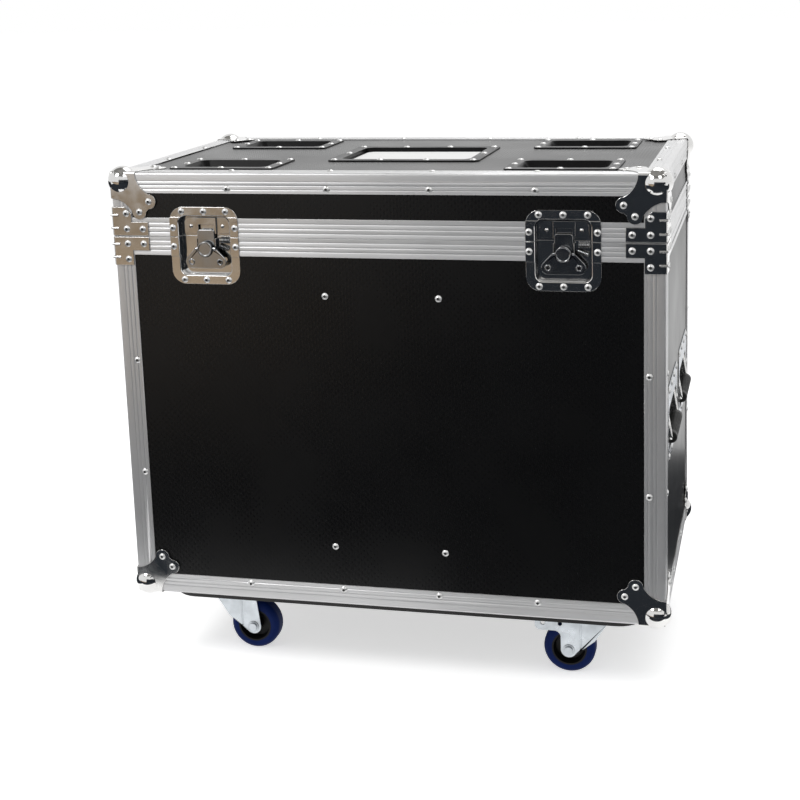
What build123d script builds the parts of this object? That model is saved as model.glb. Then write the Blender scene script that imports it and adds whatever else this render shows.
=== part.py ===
from build123d import *
import math
import os

os.makedirs("parts", exist_ok=True)

# A lighting flight case: a deep base on a castor board with four castors, and a shallow lid that
# hinges at the back and is held by two recessed butterfly latches at the front. Millimetres, +Z up,
# the front faces -Y, and the origin is on the floor under the middle of the case.
# Depths called "in" are measured from the outer plane of a face towards the inside.

# Case body
case_width = 795
case_depth = 460
base_height = 547
lid_height = 92.6
split_gap = 0.4
panel_thickness = 9
panel_play = 0.4
cut_play = 0.3
overrun = 1

# Aluminium edge bars, whose two legs lie on two faces and whose slots hold the panels
bar_leg = 30
bar_sheet = 1.6
bar_inner_sheet = 1.4
bar_inner_leg = 24
bar_edge_round = 3.4
bar_groove_first = 12.6
bar_groove_pitch = 5.9
bar_groove_count = 3
bar_groove_width = 2.8
bar_groove_floor = 0.8
bar_groove_depth = 0.8

# Tongue and channel rims where the lid meets the base
rim_leg = 27
rim_inner_leg = 18
rim_web = 1.8
channel_start = 3.4
channel_end = 9.8
channel_depth = 6
tongue_start = 4.6
tongue_end = 8.4
tongue_length = 5
rim_groove_first = 6.1
rim_groove_pitch = 6.8
rim_groove_count = 3

# Castor board under the floor
board_thickness = 22
board_inset = 35
board_corner = 40
board_rebate_play = 0.5

# Rivets with a domed head and a drawn centre hole
rivet_head_radius = 4.9
rivet_head_height = 2.2
rivet_hole_radius = 2
rivet_hole_depth = 2.2
rivet_shank_radius = 2.4
rivet_hole_play = 0.1

# Where the rivets of the edge bars stand
edge_rivet_in = 23
edge_rivet_pitch = 147.2
low_rivet_pitch = 144
upright_rivet_low = 190
upright_rivet_high = 362

# Ball corners: three plates and a ball
corner_sheet = 1.5
corner_fold_round = 3.2
ball_radius = 21
ball_in = 13
plate_reach = 38
plate_waist_along = 44.3
plate_waist_across = 19.5
lobe_long = 57.2
lobe_short = 42
lobe_radius = 10.8
lobe_web = 5.3

# Corner braces folded round the upright edges at the split
brace_sheet = 1.5
brace_arm = 54.4
brace_arm_height = 20.5
brace_leg = 29
brace_leg_height = 42.2
brace_set_back = 1
brace_bevel = 9.5
brace_fold_round = 3.2
brace_rivet_far = 45.8
brace_rivet_near = 21.2
brace_rivet_low = 10.6
brace_rivet_high = 33.2
brace_rib_radius = 1.4
brace_rib_length = 9
brace_rib_low = 11.5
brace_rib_high = 30.5

# Recessed butterfly latches
latch_x = 258.5
latch_width = 103.5
latch_below = 68.5
latch_above = 43.5
latch_sheet = 1.2
latch_rim_side = 13.25
latch_rim_end = 13
latch_corner = 20
latch_opening_corner = 10
latch_pocket = 14
latch_mouth_slope = 1
latch_rivet_edge = 6.4
latch_rivet_pitch = 33.5
latch_rivet_side_in = 4.9
latch_rivet_side_off = 13.5
hub_below_split = 17.2
hub_head_radius = 10.8
hub_head_out = 1.5
hub_head_in = 3
hub_neck_radius = 7
hub_neck_in = 5.2
hub_ring_width = 1.8
hub_ring_height = 0.9
spindle_radius = 4
spindle_play = 0.05
spindle_end_gap = 0.3
wing_sheet = 2
wing_in = 0.6
wing_lobe_x = 21.4
wing_lobe_drop = 19
wing_lobe_radius = 9.4
wing_ear_x = 13.6
wing_ear_radius = 2
wing_notch_radius = 11.6
wing_knuckle_radius = 1.9
wing_pin_radius = 0.8
wing_hole_radius = 2.8
wing_hole_ring = 1.3
wing_hole_rise = 0.6
hook_width = 25.5
hook_sheet = 1.5
hook_in = 5.5
hook_above_split = 9.7
hook_below_hub = 14.5
hook_travel = 7
hook_finger = 0.7
hook_corner = 4
hook_slot_play = 0.2
channel_cheek = 1.5
channel_cheek_gap = 0.4
channel_cheek_in = 4.8
channel_below_hub = 22
channel_above_hub = 14
keeper_sheet = 1.4
keeper_in = 8
keeper_half_width = 15
keeper_foot = 19
keeper_foot_corner = 9
keeper_bump_x = 24
keeper_bump_y = 14
keeper_bump_round = 3.4
keeper_bump_rise = 1.2
keeper_low = 3.5
keeper_high = 27
keeper_slot_low = 8.5
keeper_slot_high = 17
keeper_slot_half = 11.5

# Lid hinges on the back
hinge_leaf_width = 80
hinge_leaf_height = 46
hinge_leaf_sheet = 1.5
hinge_axis_out = 4.3
hinge_knuckle_radius = 4
hinge_knuckle_count = 5
hinge_knuckle_gap = 0.3
hinge_pin_radius = 2
hinge_pin_play = 0.05
hinge_leaf_gap = 0.5
hinge_leaf_corner = 6
hinge_rivet_edge = 12

# Recessed side handles, two on each side
handle_off_centre = 103
handle_above_bottom = 279
handle_dish_width = 165
handle_dish_height = 110
handle_dish_corner = 16
handle_sheet = 1.2
handle_opening_half = 68
handle_opening_low = 41
handle_opening_high = 22
handle_opening_corner = 8
handle_pocket = 20
handle_rivet_pitch = 45
handle_rivet_row = 48
handle_rivet_side = 75.5
bail_radius = 3.5
bail_play = 0.05
bail_arm = 59.4
bail_bend = 4.4
bail_pivot_in = 6
bail_pivot_above = 17
bail_stub_gap = 0.5
bail_ear = 4
bail_ear_radius = 4.9
grip_radius = 9
grip_length = 110
grip_drop = 41
grip_out = 1
grip_groove_depth = 0.8
grip_groove_width = 2.4
grip_groove_pitch = 5.2
grip_groove_count = 17
grip_end_round = 2

# Castors, named by the corner that they stand at
castor_height = 103.5
castor_x = 280
castor_y = 128
castor_plate_long = 96
castor_plate_wide = 66
castor_plate_sheet = 3
castor_plate_corner = 8
castor_bolt_long = 76
castor_bolt_wide = 46
castor_bolt_radius = 4
castor_bolt_play = 0.1
castor_bolt_head_radius = 7
castor_bolt_head_height = 4.5
race_radius = 26
race_height = 7
race_gap = 0.2
kingpin_radius = 5
kingpin_play = 0.05
kingpin_nut_radius = 8
kingpin_nut_height = 5
crown_sheet = 4.3
crown_back = 27
crown_front = 38
fork_sheet = 2.4
fork_inner_half = 17.6
fork_boss_radius = 12
fork_leg_corner = 6
fork_leg_bow = 5
fork_crease_x = 14
fork_crease_radius = 1.6
fork_crease_depth = 0.9
fork_crease_low = 40
wheel_radius = 39
wheel_trail = 32
wheel_width = 30
wheel_round = 9
core_radius = 26.5
core_rim = 2.5
core_web = 8
core_hub_radius = 11
core_dish_draft = 3
axle_radius = 5
axle_play = 0.05
axle_head_radius = 6
axle_head_height = 4.5
axle_washer_radius = 8.4
axle_washer_height = 1.2
axle_nut_height = 6
wheel_side_gap = 0.3
brake_arm_reach = 51
brake_arm_low = 29
brake_arm_corner = 8
brake_arm_fillet = 10
brake_hole_near = 13
brake_hole_far = 38.8
brake_hole_rise = 40.5
brake_hole_radius = 3.2
brake_pin_near = 12
brake_pin_rise = 50
brake_pin_radius = 2.5
brake_pin_play = 0.05
brake_pin_head = 3.6
brake_pin_head_height = 1.6
brake_eye_radius = 4.5
brake_pedal_half = 14
brake_pedal_sheet = 2.5
brake_pedal_reach = 50
brake_pedal_rise = 1.5
brake_shoe_start = 4
brake_shoe_end = 10
brake_shoe_drop = 12.5

# Lid furniture: four castor dishes and a label dish
dish_sheet = 2
castor_dish_x = 248
castor_dish_y = 128.5
castor_dish_long = 159
castor_dish_wide = 113
castor_dish_corner = 8
castor_dish_mouth_long = 128
castor_dish_mouth_wide = 80
castor_dish_floor_long = 108
castor_dish_floor_wide = 56
castor_dish_mouth_corner = 12
castor_dish_depth = 18
castor_dish_rivet_edge = 7.2
label_dish_long = 230
label_dish_wide = 182
label_dish_corner = 10
label_mouth_long = 196
label_mouth_wide = 148
label_mouth_corner = 12
label_depth = 5
label_rivet_edge = 9
label_rivet_pitch = 70.5
label_card_long = 188
label_card_wide = 140
label_card_thickness = 0.6

# Inside: foam pads, and two divider boards in channels
divider_x = 82.5
divider_thickness = 12
divider_play = 0.5
divider_channel_sheet = 1.5
divider_channel_depth = 12
divider_channel_low = 26
divider_channel_high = 512
divider_low_rivet = 89
divider_high_rivet = 464
divider_top = 522
floor_pad_thickness = 25
floor_pad_inset = 38
floor_pad_gap = 4
lid_pad_thickness = 20
lid_pad_long = 300
lid_pad_wide = 390
pad_corner = 10

# Places worked out from the sizes above
half_w = case_width / 2
half_d = case_depth / 2
case_bottom = castor_height + board_thickness - bar_sheet
split = case_bottom + base_height
lid_bottom = split + split_gap
lid_top = lid_bottom + lid_height
slot_end = bar_sheet + panel_thickness
bar_inner_face = slot_end + bar_inner_sheet
panel_edge = bar_inner_face + panel_play
wall_in = slot_end
floor_top = case_bottom + slot_end
rim_channel_floor = channel_depth + rim_web
base_panel_top = split - rim_channel_floor - panel_play
lid_panel_bottom = lid_bottom + rim_web + panel_play
hinge_z = split + split_gap / 2
handle_z = case_bottom + handle_above_bottom
axle_z = wheel_radius
race_z = castor_height - castor_plate_sheet - race_height
crown_top = race_z - race_gap
crown_bottom = crown_top - crown_sheet

# Planes of the outer faces: local x along the face, local y up (or back), local z outwards
front = Plane(origin=(0, -half_d, 0), x_dir=(1, 0, 0), z_dir=(0, -1, 0))
back = Plane(origin=(0, half_d, 0), x_dir=(-1, 0, 0), z_dir=(0, 1, 0))
right = Plane(origin=(half_w, 0, 0), x_dir=(0, 1, 0), z_dir=(1, 0, 0))
left = Plane(origin=(-half_w, 0, 0), x_dir=(0, -1, 0), z_dir=(-1, 0, 0))
top = Plane(origin=(0, 0, lid_top), x_dir=(1, 0, 0), z_dir=(0, 0, 1))
under = Plane(origin=(0, 0, case_bottom), x_dir=(1, 0, 0), z_dir=(0, 0, -1))


# Small helpers
def slab(x0, x1, y0, y1, z0, z1):
    """A block between two corners."""
    block = Box(x1 - x0, y1 - y0, z1 - z0)
    return Pos((x0 + x1) / 2, (y0 + y1) / 2, (z0 + z1) / 2) * block


def patch(x0, x1, y0, y1):
    """A flat rectangle between two corners."""
    return Pos((x0 + x1) / 2, (y0 + y1) / 2) * Rectangle(x1 - x0, y1 - y0)


def round_patch(x0, x1, y0, y1, corner):
    """A flat rectangle with round corners."""
    return Pos((x0 + x1) / 2, (y0 + y1) / 2) * RectangleRounded(x1 - x0, y1 - y0, corner)


def raised(face, low, high):
    """A flat face made solid between two heights."""
    return Pos(0, 0, low) * extrude(face, amount=high - low)


def outline(points):
    """A flat face inside a closed run of points."""
    return make_face(Polyline(*points, close=True))


def rod_x(radius, x0, x1, y, z):
    return Pos((x0 + x1) / 2, y, z) * Rot(0, 90, 0) * Cylinder(radius, x1 - x0)


def rod_y(radius, y0, y1, x, z):
    return Pos(x, (y0 + y1) / 2, z) * Rot(90, 0, 0) * Cylinder(radius, y1 - y0)


def rod_z(radius, z0, z1, x, y):
    return Pos(x, y, (z0 + z1) / 2) * Cylinder(radius, z1 - z0)


def swap_sides(shape):
    """The same piece on the other side, left for right."""
    return mirror(shape, about=Plane.YZ)


def swap_ends(shape):
    """The same piece at the other end, front for back."""
    return mirror(shape, about=Plane.XZ)


def both_sides(shape):
    return [shape, swap_sides(shape)]


def four_ways(shape):
    """A piece at each of the four corners of the plan."""
    return [twin for end in (shape, swap_ends(shape)) for twin in both_sides(end)]


def boxes_meet(one, other):
    """Whether two bounding boxes overlap."""
    return (one.min.X < other.max.X and other.min.X < one.max.X
            and one.min.Y < other.max.Y and other.min.Y < one.max.Y
            and one.min.Z < other.max.Z and other.min.Z < one.max.Z)


def drilled(shape, drills):
    """A piece with the rivet holes that pass through it."""
    solids = []
    for solid in shape.solids():
        box = solid.bounding_box()
        near = [drill for drill in drills if boxes_meet(drill.bounding_box(), box)]
        solids += (solid - near).solids() if near else [solid]
    return solids


def save(name, shapes):
    """Write the solids of one node."""
    solids = [solid for shape in shapes for solid in shape.solids()]
    shape = solids[0] if len(solids) == 1 else Compound(children=solids)
    export_step(shape, f"parts/{name}.step")


# Rivets
def make_rivet(grip):
    """A rivet whose head sits at height 0 and whose shank goes down through the grip."""
    dome = (rivet_head_radius**2 + rivet_head_height**2) / (2 * rivet_head_height)
    centre = rivet_head_height - dome
    hole_top = centre + math.sqrt(dome**2 - rivet_hole_radius**2)
    hole_floor = hole_top - rivet_hole_depth
    middle = (rivet_head_radius + rivet_hole_radius) / 2
    side = [
        Line((0, -grip), (rivet_shank_radius, -grip)),
        Line((rivet_shank_radius, -grip), (rivet_shank_radius, 0)),
        Line((rivet_shank_radius, 0), (rivet_head_radius, 0)),
        ThreePointArc((rivet_head_radius, 0), (middle, centre + math.sqrt(dome**2 - middle**2)),
                      (rivet_hole_radius, hole_top)),
        Line((rivet_hole_radius, hole_top), (rivet_hole_radius, hole_floor)),
        Line((rivet_hole_radius, hole_floor), (0, hole_floor)),
        Line((0, hole_floor), (0, -grip)),
    ]
    face = Plane.XZ * make_face(side)
    return revolve(face, Axis.Z)


rivet_shapes = {}


class RivetSet:
    """The rivets of one body, and the holes that they need."""

    def __init__(self):
        self.rivets = []
        self.drills = []

    def add(self, plane, x, y, seat, end):
        """One rivet: its head on the height seat, its shank down to the height end."""
        grip = round(seat - end, 3)
        if grip not in rivet_shapes:
            rivet_shapes[grip] = make_rivet(grip)
        place = plane.location * Pos(x, y, seat)
        self.rivets.append(place * rivet_shapes[grip])
        drill = rod_z(rivet_shank_radius + rivet_hole_play, -grip - overrun, overrun, 0, 0)
        self.drills.append(place * drill)


base_rivets = RivetSet()
lid_rivets = RivetSet()
through_bar = -bar_inner_face
through_panel = -slot_end


# Edge bars
def groove(middle):
    """The section of a decorative groove with sloping sides, cut into a face at x = 0."""
    half = bar_groove_width / 2
    floor = bar_groove_floor / 2
    side = [(-bar_groove_depth, middle - half), (0, middle - half), (bar_groove_depth, middle - floor)]
    return outline(side + [(x, 2 * middle - y) for x, y in reversed(side)])


def bar_section():
    """The section of an edge bar, with its outer corner at the origin."""
    legs = patch(0, bar_sheet, 0, bar_leg) + patch(0, bar_leg, 0, bar_sheet)
    inner = patch(slot_end, bar_inner_face, slot_end, bar_inner_leg)
    inner += patch(slot_end, bar_inner_leg, slot_end, bar_inner_face)
    webs = patch(slot_end, bar_inner_face, bar_sheet, slot_end)
    webs += patch(bar_sheet, slot_end, slot_end, bar_inner_face)
    section = legs + inner + webs
    for count in range(bar_groove_count):
        cut = groove(bar_groove_first + count * bar_groove_pitch)
        section -= [cut, mirror(cut, about=Plane(origin=(0, 0, 0), z_dir=(1, -1, 0)))]
    corner = section.vertices().sort_by_distance((0, 0, 0))[0]
    return fillet(corner, bar_edge_round)


def mitre_wedges(length, reach):
    """Cutters for the end at x = 0 that leave what lies further along than across."""
    flat = outline([(-overrun, -overrun), (-overrun, reach), (reach, reach)])
    along_z = raised(flat, -overrun, reach)
    upright = Plane.XZ * flat
    along_y = Pos(0, reach, 0) * extrude(upright, amount=reach + overrun)
    return [along_z, along_y]


bar_face = bar_section()


def edge_bar(length, far_mitre):
    """A bar along +X from its outer corner, mitred for the bars that meet it."""
    bar = extrude(Plane.YZ * bar_face, amount=length)
    wedges = mitre_wedges(length, bar_leg + overrun)
    bar -= wedges
    if far_mitre:
        bar -= [Pos(length, 0, 0) * swap_sides(wedge) for wedge in wedges]
    return bar


def bar_frame(upright_length):
    """The bars round a floor and up its four corners, with the floor's outer plane at height 0."""
    long_bar = Pos(-half_w, -half_d, 0) * edge_bar(case_width, True)
    side_bar = Pos(half_w, -half_d, 0) * Rot(0, 0, 90) * edge_bar(case_depth, True)
    upright = Pos(half_w, -half_d, 0) * Rot(0, -90, 0) * edge_bar(upright_length, False)
    return [long_bar, swap_ends(long_bar)] + both_sides(side_bar) + four_ways(upright)


def stand_on_lid(shape):
    """Turn a frame for a floor upside down, onto the top of the lid."""
    return Pos(0, 0, lid_top) * mirror(shape, about=Plane.XY)


base_bars = [Pos(0, 0, case_bottom) * bar for bar in bar_frame(base_height - rim_leg)]
lid_bars = [stand_on_lid(bar) for bar in bar_frame(lid_height - rim_leg)]

for plane in (front, back):
    for step in (-1.5, -0.5, 0.5, 1.5):
        base_rivets.add(plane, step * low_rivet_pitch, case_bottom + edge_rivet_in, 0, through_bar)
        lid_rivets.add(plane, step * edge_rivet_pitch, lid_top - edge_rivet_in, 0, through_bar)
for plane in (left, right):
    for step in (-0.5, 0.5):
        base_rivets.add(plane, step * edge_rivet_pitch, case_bottom + edge_rivet_in, 0, through_bar)
        lid_rivets.add(plane, step * edge_rivet_pitch, lid_top - edge_rivet_in, 0, through_bar)
for plane, rivets in ((under, base_rivets), (top, lid_rivets)):
    for end in (-1, 1):
        for step in (-1.5, -0.5, 0.5, 1.5):
            rivets.add(plane, step * edge_rivet_pitch, end * (half_d - edge_rivet_in), 0, through_bar)
        for step in (-0.5, 0.5):
            rivets.add(plane, end * (half_w - edge_rivet_in), step * edge_rivet_pitch, 0, through_bar)
for plane, half in ((front, half_w), (back, half_w), (left, half_d), (right, half_d)):
    for side in (-1, 1):
        for height in (upright_rivet_low, upright_rivet_high):
            base_rivets.add(plane, side * (half - edge_rivet_in), case_bottom + height, 0, through_bar)


# Rims
def rim_grooves(profile, up):
    """Cut the outside of a rim section with its decorative grooves, upwards or downwards."""
    for count in range(rim_groove_count):
        profile -= groove(up * (rim_groove_first + count * rim_groove_pitch))
    return profile


def base_rim_section():
    """The channel rim, with the split at height 0."""
    profile = patch(0, bar_sheet, -rim_leg, 0)
    profile += patch(0, bar_inner_face, -rim_channel_floor, 0)
    profile += patch(slot_end, bar_inner_face, -rim_inner_leg, 0)
    profile -= patch(channel_start, channel_end, -channel_depth, 0)
    return rim_grooves(profile, -1)


def lid_rim_section():
    """The tongue rim, with the underside of the lid at height 0."""
    profile = patch(0, bar_sheet, 0, rim_leg)
    profile += patch(0, bar_inner_face, 0, rim_web)
    profile += patch(slot_end, bar_inner_face, 0, rim_inner_leg)
    profile += patch(tongue_start, tongue_end, -tongue_length, 0)
    return rim_grooves(profile, 1)


def rim_bars(profile, height):
    """A rim round the whole case, mitred at the four corners."""
    wedge = mitre_wedges(case_width, bar_leg + overrun)[0]
    tall = Pos(0, 0, -rim_leg) * scale(wedge, by=(1, 1, 2))

    def rim_bar(length):
        bar = extrude(Plane.YZ * profile, amount=length)
        return bar - [tall, Pos(length, 0, 0) * swap_sides(tall)]

    long_bar = Pos(-half_w, -half_d, height) * rim_bar(case_width)
    side_bar = Pos(half_w, -half_d, height) * Rot(0, 0, 90) * rim_bar(case_depth)
    return [long_bar, swap_ends(long_bar)] + both_sides(side_bar)


base_rims = rim_bars(base_rim_section(), split)
lid_rims = rim_bars(lid_rim_section(), lid_bottom)


# Panels
def wall_pair(low, high):
    """One long wall panel at the front and one short one at the right."""
    long_wall = slab(panel_edge - half_w, half_w - panel_edge, bar_sheet - half_d, slot_end - half_d,
                     low, high)
    side_wall = slab(half_w - slot_end, half_w - bar_sheet, panel_edge - half_d, half_d - panel_edge,
                     low, high)
    return long_wall, side_wall


base_front, base_right = wall_pair(case_bottom + panel_edge, base_panel_top)
lid_front, lid_right = wall_pair(lid_panel_bottom, lid_top - panel_edge)
base_back = swap_ends(base_front)
lid_back = swap_ends(lid_front)
flat_panel = raised(patch(panel_edge - half_w, half_w - panel_edge, panel_edge - half_d, half_d - panel_edge),
                    0, panel_thickness)
base_floor = Pos(0, 0, case_bottom + bar_sheet) * flat_panel
lid_panel = Pos(0, 0, lid_top - slot_end) * flat_panel

# Castor board
board_face = round_patch(board_inset - half_w, half_w - board_inset, board_inset - half_d,
                         half_d - board_inset, board_corner)
castor_board = raised(board_face, castor_height, castor_height + board_thickness)
rebate = lobe_long + lobe_radius + board_rebate_play
rebate_floor = case_bottom - corner_sheet - rivet_head_height - board_rebate_play
castor_board -= four_ways(slab(-half_w, rebate - half_w, -half_d, rebate - half_d, rebate_floor,
                               case_bottom + bar_sheet))


# Ball corners
def corner_plate():
    """One plate of a ball corner, lying on a face with the corner of the case at the origin."""
    lobe_low = lobe_short - lobe_radius
    run = [
        Line((-corner_sheet, -corner_sheet), (plate_reach, -corner_sheet)),
        Line((plate_reach, -corner_sheet), (plate_reach, 0)),
        ThreePointArc((plate_reach, 0), (plate_waist_along, plate_waist_across), (lobe_long, lobe_low)),
        Line((lobe_long, lobe_low), (lobe_long + lobe_web, lobe_short + lobe_web)),
        Line((lobe_long + lobe_web, lobe_short + lobe_web), (lobe_short + lobe_web, lobe_long + lobe_web)),
        Line((lobe_short + lobe_web, lobe_long + lobe_web), (lobe_low, lobe_long)),
        ThreePointArc((lobe_low, lobe_long), (plate_waist_across, plate_waist_along), (0, plate_reach)),
        Line((0, plate_reach), (-corner_sheet, plate_reach)),
        Line((-corner_sheet, plate_reach), (-corner_sheet, -corner_sheet)),
    ]
    face = make_face(run)
    face += Pos(lobe_long, lobe_short) * Circle(lobe_radius)
    face += Pos(lobe_short, lobe_long) * Circle(lobe_radius)
    return face


def ball_corner():
    """A ball corner round the case corner at the origin, with the case towards +X, +Y and +Z."""
    plate = extrude(corner_plate(), amount=-corner_sheet)
    across = Plane(origin=(0, 0, 0), x_dir=(0, 1, 0), z_dir=(1, 0, 0)) * plate
    along = Plane(origin=(0, 0, 0), x_dir=(0, 0, 1), z_dir=(0, 1, 0)) * plate
    tip = (-corner_sheet, -corner_sheet, -corner_sheet)
    corner = plate + across + along
    folds = [edge for edge in corner.edges() if edge.distance_to(tip) < corner_sheet / 2]
    corner = fillet(folds, corner_fold_round)
    corner += Pos(ball_in, ball_in, ball_in) * Sphere(ball_radius)
    reach = lobe_long + lobe_radius + ball_radius
    return corner - slab(0, reach, 0, reach, 0, reach)


one_ball_corner = Pos(-half_w, -half_d, 0) * ball_corner()
base_balls = four_ways(Pos(0, 0, case_bottom) * one_ball_corner)
lid_balls = [stand_on_lid(ball) for ball in four_ways(one_ball_corner)]

for along, across in ((lobe_long, lobe_short), (lobe_short, lobe_long)):
    for side in (-1, 1):
        for plane, half in ((front, half_w), (back, half_w), (left, half_d), (right, half_d)):
            base_rivets.add(plane, side * (half - along), case_bottom + across, corner_sheet, through_panel)
            lid_rivets.add(plane, side * (half - along), lid_top - across, corner_sheet, through_panel)
        for end in (-1, 1):
            x = side * (half_w - along)
            y = end * (half_d - across)
            base_rivets.add(under, x, y, corner_sheet, through_panel)
            lid_rivets.add(top, x, y, corner_sheet, through_panel)


# Corner braces
def brace_sheet_face(bevelled):
    """One face of a brace, with the upright edge at x = 0 and the split at y = 0."""
    face = patch(-brace_sheet, brace_arm, brace_set_back, brace_arm_height)
    face += patch(-brace_sheet, brace_leg, brace_set_back, brace_leg_height)
    if bevelled:
        face -= outline([(brace_leg - brace_bevel, brace_leg_height),
                         (brace_leg, brace_leg_height - brace_bevel), (brace_leg, brace_leg_height)])
    return face


def brace(bevelled):
    """A brace round the upright edge at the origin, with the case towards +X and +Y, upwards."""
    face = extrude(Plane.XZ * brace_sheet_face(bevelled), amount=brace_sheet)
    body = face + mirror(face, about=Plane(origin=(0, 0, 0), z_dir=(1, -1, 0)))
    fold = body.edges().filter_by(Axis.Z).sort_by_distance((-brace_sheet, -brace_sheet, 0))[0]
    body = fillet(fold, brace_fold_round)
    for height in (brace_rib_low, brace_rib_high):
        rib = rod_x(brace_rib_radius, -brace_sheet, brace_rib_length, -brace_sheet, height)
        rib += rod_y(brace_rib_radius, -brace_sheet, brace_rib_length, -brace_sheet, height)
        rib += Pos(-brace_sheet, -brace_sheet, height) * Sphere(brace_rib_radius)
        body += rib - slab(0, case_width, 0, case_depth, 0, brace_leg_height)
    return body


lid_braces = four_ways(Pos(-half_w, -half_d, lid_bottom) * brace(True))
low_brace = mirror(brace(False), about=Plane.XY)
base_braces = four_ways(Pos(-half_w, -half_d, split) * low_brace)

for plane, half in ((front, half_w), (back, half_w), (left, half_d), (right, half_d)):
    for side in (-1, 1):
        for along, off in ((brace_rivet_far, brace_rivet_low), (brace_rivet_near, brace_rivet_low),
                           (brace_rivet_near, brace_rivet_high)):
            base_rivets.add(plane, side * (half - along), split - off, brace_sheet, through_panel)
            lid_rivets.add(plane, side * (half - along), lid_bottom + off, brace_sheet, through_panel)

# Latches, drawn on the front face with the middle of the latch at x = 0 and the split at y = 0
latch_half = latch_width / 2
latch_mouth_half = latch_half - latch_rim_side
latch_mouth_low = latch_rim_end - latch_below
latch_mouth_high = latch_above - latch_rim_end
pocket_floor = latch_sheet - latch_pocket


def mouth_slope(seat):
    """The cutter that slopes the edge of a latch's mouth down from the height seat."""
    def ring(spread):
        return round_patch(-latch_mouth_half - spread, latch_mouth_half + spread, latch_mouth_low - spread,
                           latch_mouth_high + spread, latch_opening_corner + spread)

    return loft([Pos(0, 0, seat - latch_mouth_slope) * ring(0), Pos(0, 0, seat) * ring(latch_mouth_slope)])


def latch_dish():
    """The whole dish of a latch, before it is parted at the split."""
    flange = round_patch(-latch_half, latch_half, -latch_below, latch_above, latch_corner)
    mouth = round_patch(-latch_mouth_half, latch_mouth_half, latch_mouth_low, latch_mouth_high,
                        latch_opening_corner)
    wall = round_patch(-latch_mouth_half - latch_sheet, latch_mouth_half + latch_sheet,
                       latch_mouth_low - latch_sheet, latch_mouth_high + latch_sheet,
                       latch_opening_corner + latch_sheet)
    rim_zone = patch(-latch_half, latch_half, -rim_leg, split_gap + rim_leg)
    on_rim = flange & patch(-latch_half, latch_half, -rim_leg - latch_sheet,
                            split_gap + rim_leg + latch_sheet)
    riser = on_rim - rim_zone
    on_panel = flange - rim_zone
    between = wall & rim_zone
    dish = raised(on_rim, 0, latch_sheet)
    dish += raised(riser, -bar_sheet, latch_sheet)
    dish += raised(on_panel, -bar_sheet, latch_sheet - bar_sheet)
    dish += raised(wall, -latch_pocket, latch_sheet - bar_sheet)
    dish += raised(between, -bar_sheet, latch_sheet)
    dish -= raised(mouth, pocket_floor, latch_sheet + overrun)
    raised_band = raised(on_rim, latch_sheet - latch_mouth_slope, latch_sheet + overrun)
    dish -= mouth_slope(latch_sheet) & raised_band
    rim_block = raised(on_rim, -latch_pocket, latch_sheet + overrun)
    return dish - (mouth_slope(latch_sheet - bar_sheet) - rim_block)


def latch_base():
    """The channel on the pocket floor that guides the hook and carries the spindle."""
    half = hook_width / 2 + channel_cheek_gap + channel_cheek
    low = -hub_below_split - channel_below_hub
    high = -hub_below_split + channel_above_hub
    body = raised(patch(-half, half, low, high), pocket_floor, -channel_cheek_in)
    inner = half - channel_cheek
    body -= raised(patch(-inner, inner, low - overrun, high + overrun), pocket_floor + channel_cheek,
                   overrun - channel_cheek_in)
    return body - rod_z(spindle_radius + spindle_play, -latch_pocket, 0, 0, -hub_below_split)


def latch_hub():
    """The turning hub: ringed head, neck, spindle and the cross pin of the wing."""
    hub = rod_z(hub_head_radius, -hub_head_in, hub_head_out, 0, 0)
    ring = rod_z(hub_head_radius, hub_head_out, hub_head_out + hub_ring_height, 0, 0)
    hub += ring - rod_z(hub_head_radius - hub_ring_width, hub_head_out, hub_head_out + hub_ring_height, 0, 0)
    hub += rod_z(hub_neck_radius, -hub_neck_in, -hub_head_in, 0, 0)
    hub += rod_z(spindle_radius, pocket_floor + spindle_end_gap, -hub_neck_in, 0, 0)
    pin_reach = wing_ear_x + wing_ear_radius
    hub += rod_x(wing_pin_radius, -pin_reach, pin_reach, 0, -wing_in - wing_sheet / 2)
    return Pos(0, -hub_below_split, 0) * hub


def latch_wing():
    """The butterfly wing, lying flat below the hub."""
    lobes = [Pos(side * wing_lobe_x, -wing_lobe_drop) * Circle(wing_lobe_radius) for side in (-1, 1)]
    ears = [Pos(side * wing_ear_x, 0) * Circle(wing_ear_radius) for side in (-1, 1)]
    hull = make_hull([edge for circle in lobes + ears for edge in circle.edges()])
    hull -= Circle(wing_notch_radius)
    for side in (-1, 1):
        hull -= Pos(side * wing_lobe_x, -wing_lobe_drop) * Circle(wing_hole_radius)
    wing = raised(hull, -wing_in - wing_sheet, -wing_in)
    for side in (-1, 1):
        rim = Circle(wing_hole_radius + wing_hole_ring) - Circle(wing_hole_radius)
        wing += raised(Pos(side * wing_lobe_x, -wing_lobe_drop) * rim, -wing_in, wing_hole_rise - wing_in)
    pin_in = -wing_in - wing_sheet / 2
    reach = wing_ear_x + wing_ear_radius
    for side in (-1, 1):
        low, high = sorted((side * wing_notch_radius, side * reach))
        wing += rod_x(wing_knuckle_radius, low, high, 0, pin_in)
    wing -= rod_x(wing_pin_radius + spindle_play, -reach - overrun, reach + overrun, 0, pin_in)
    return Pos(0, -hub_below_split, 0) * wing


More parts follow.
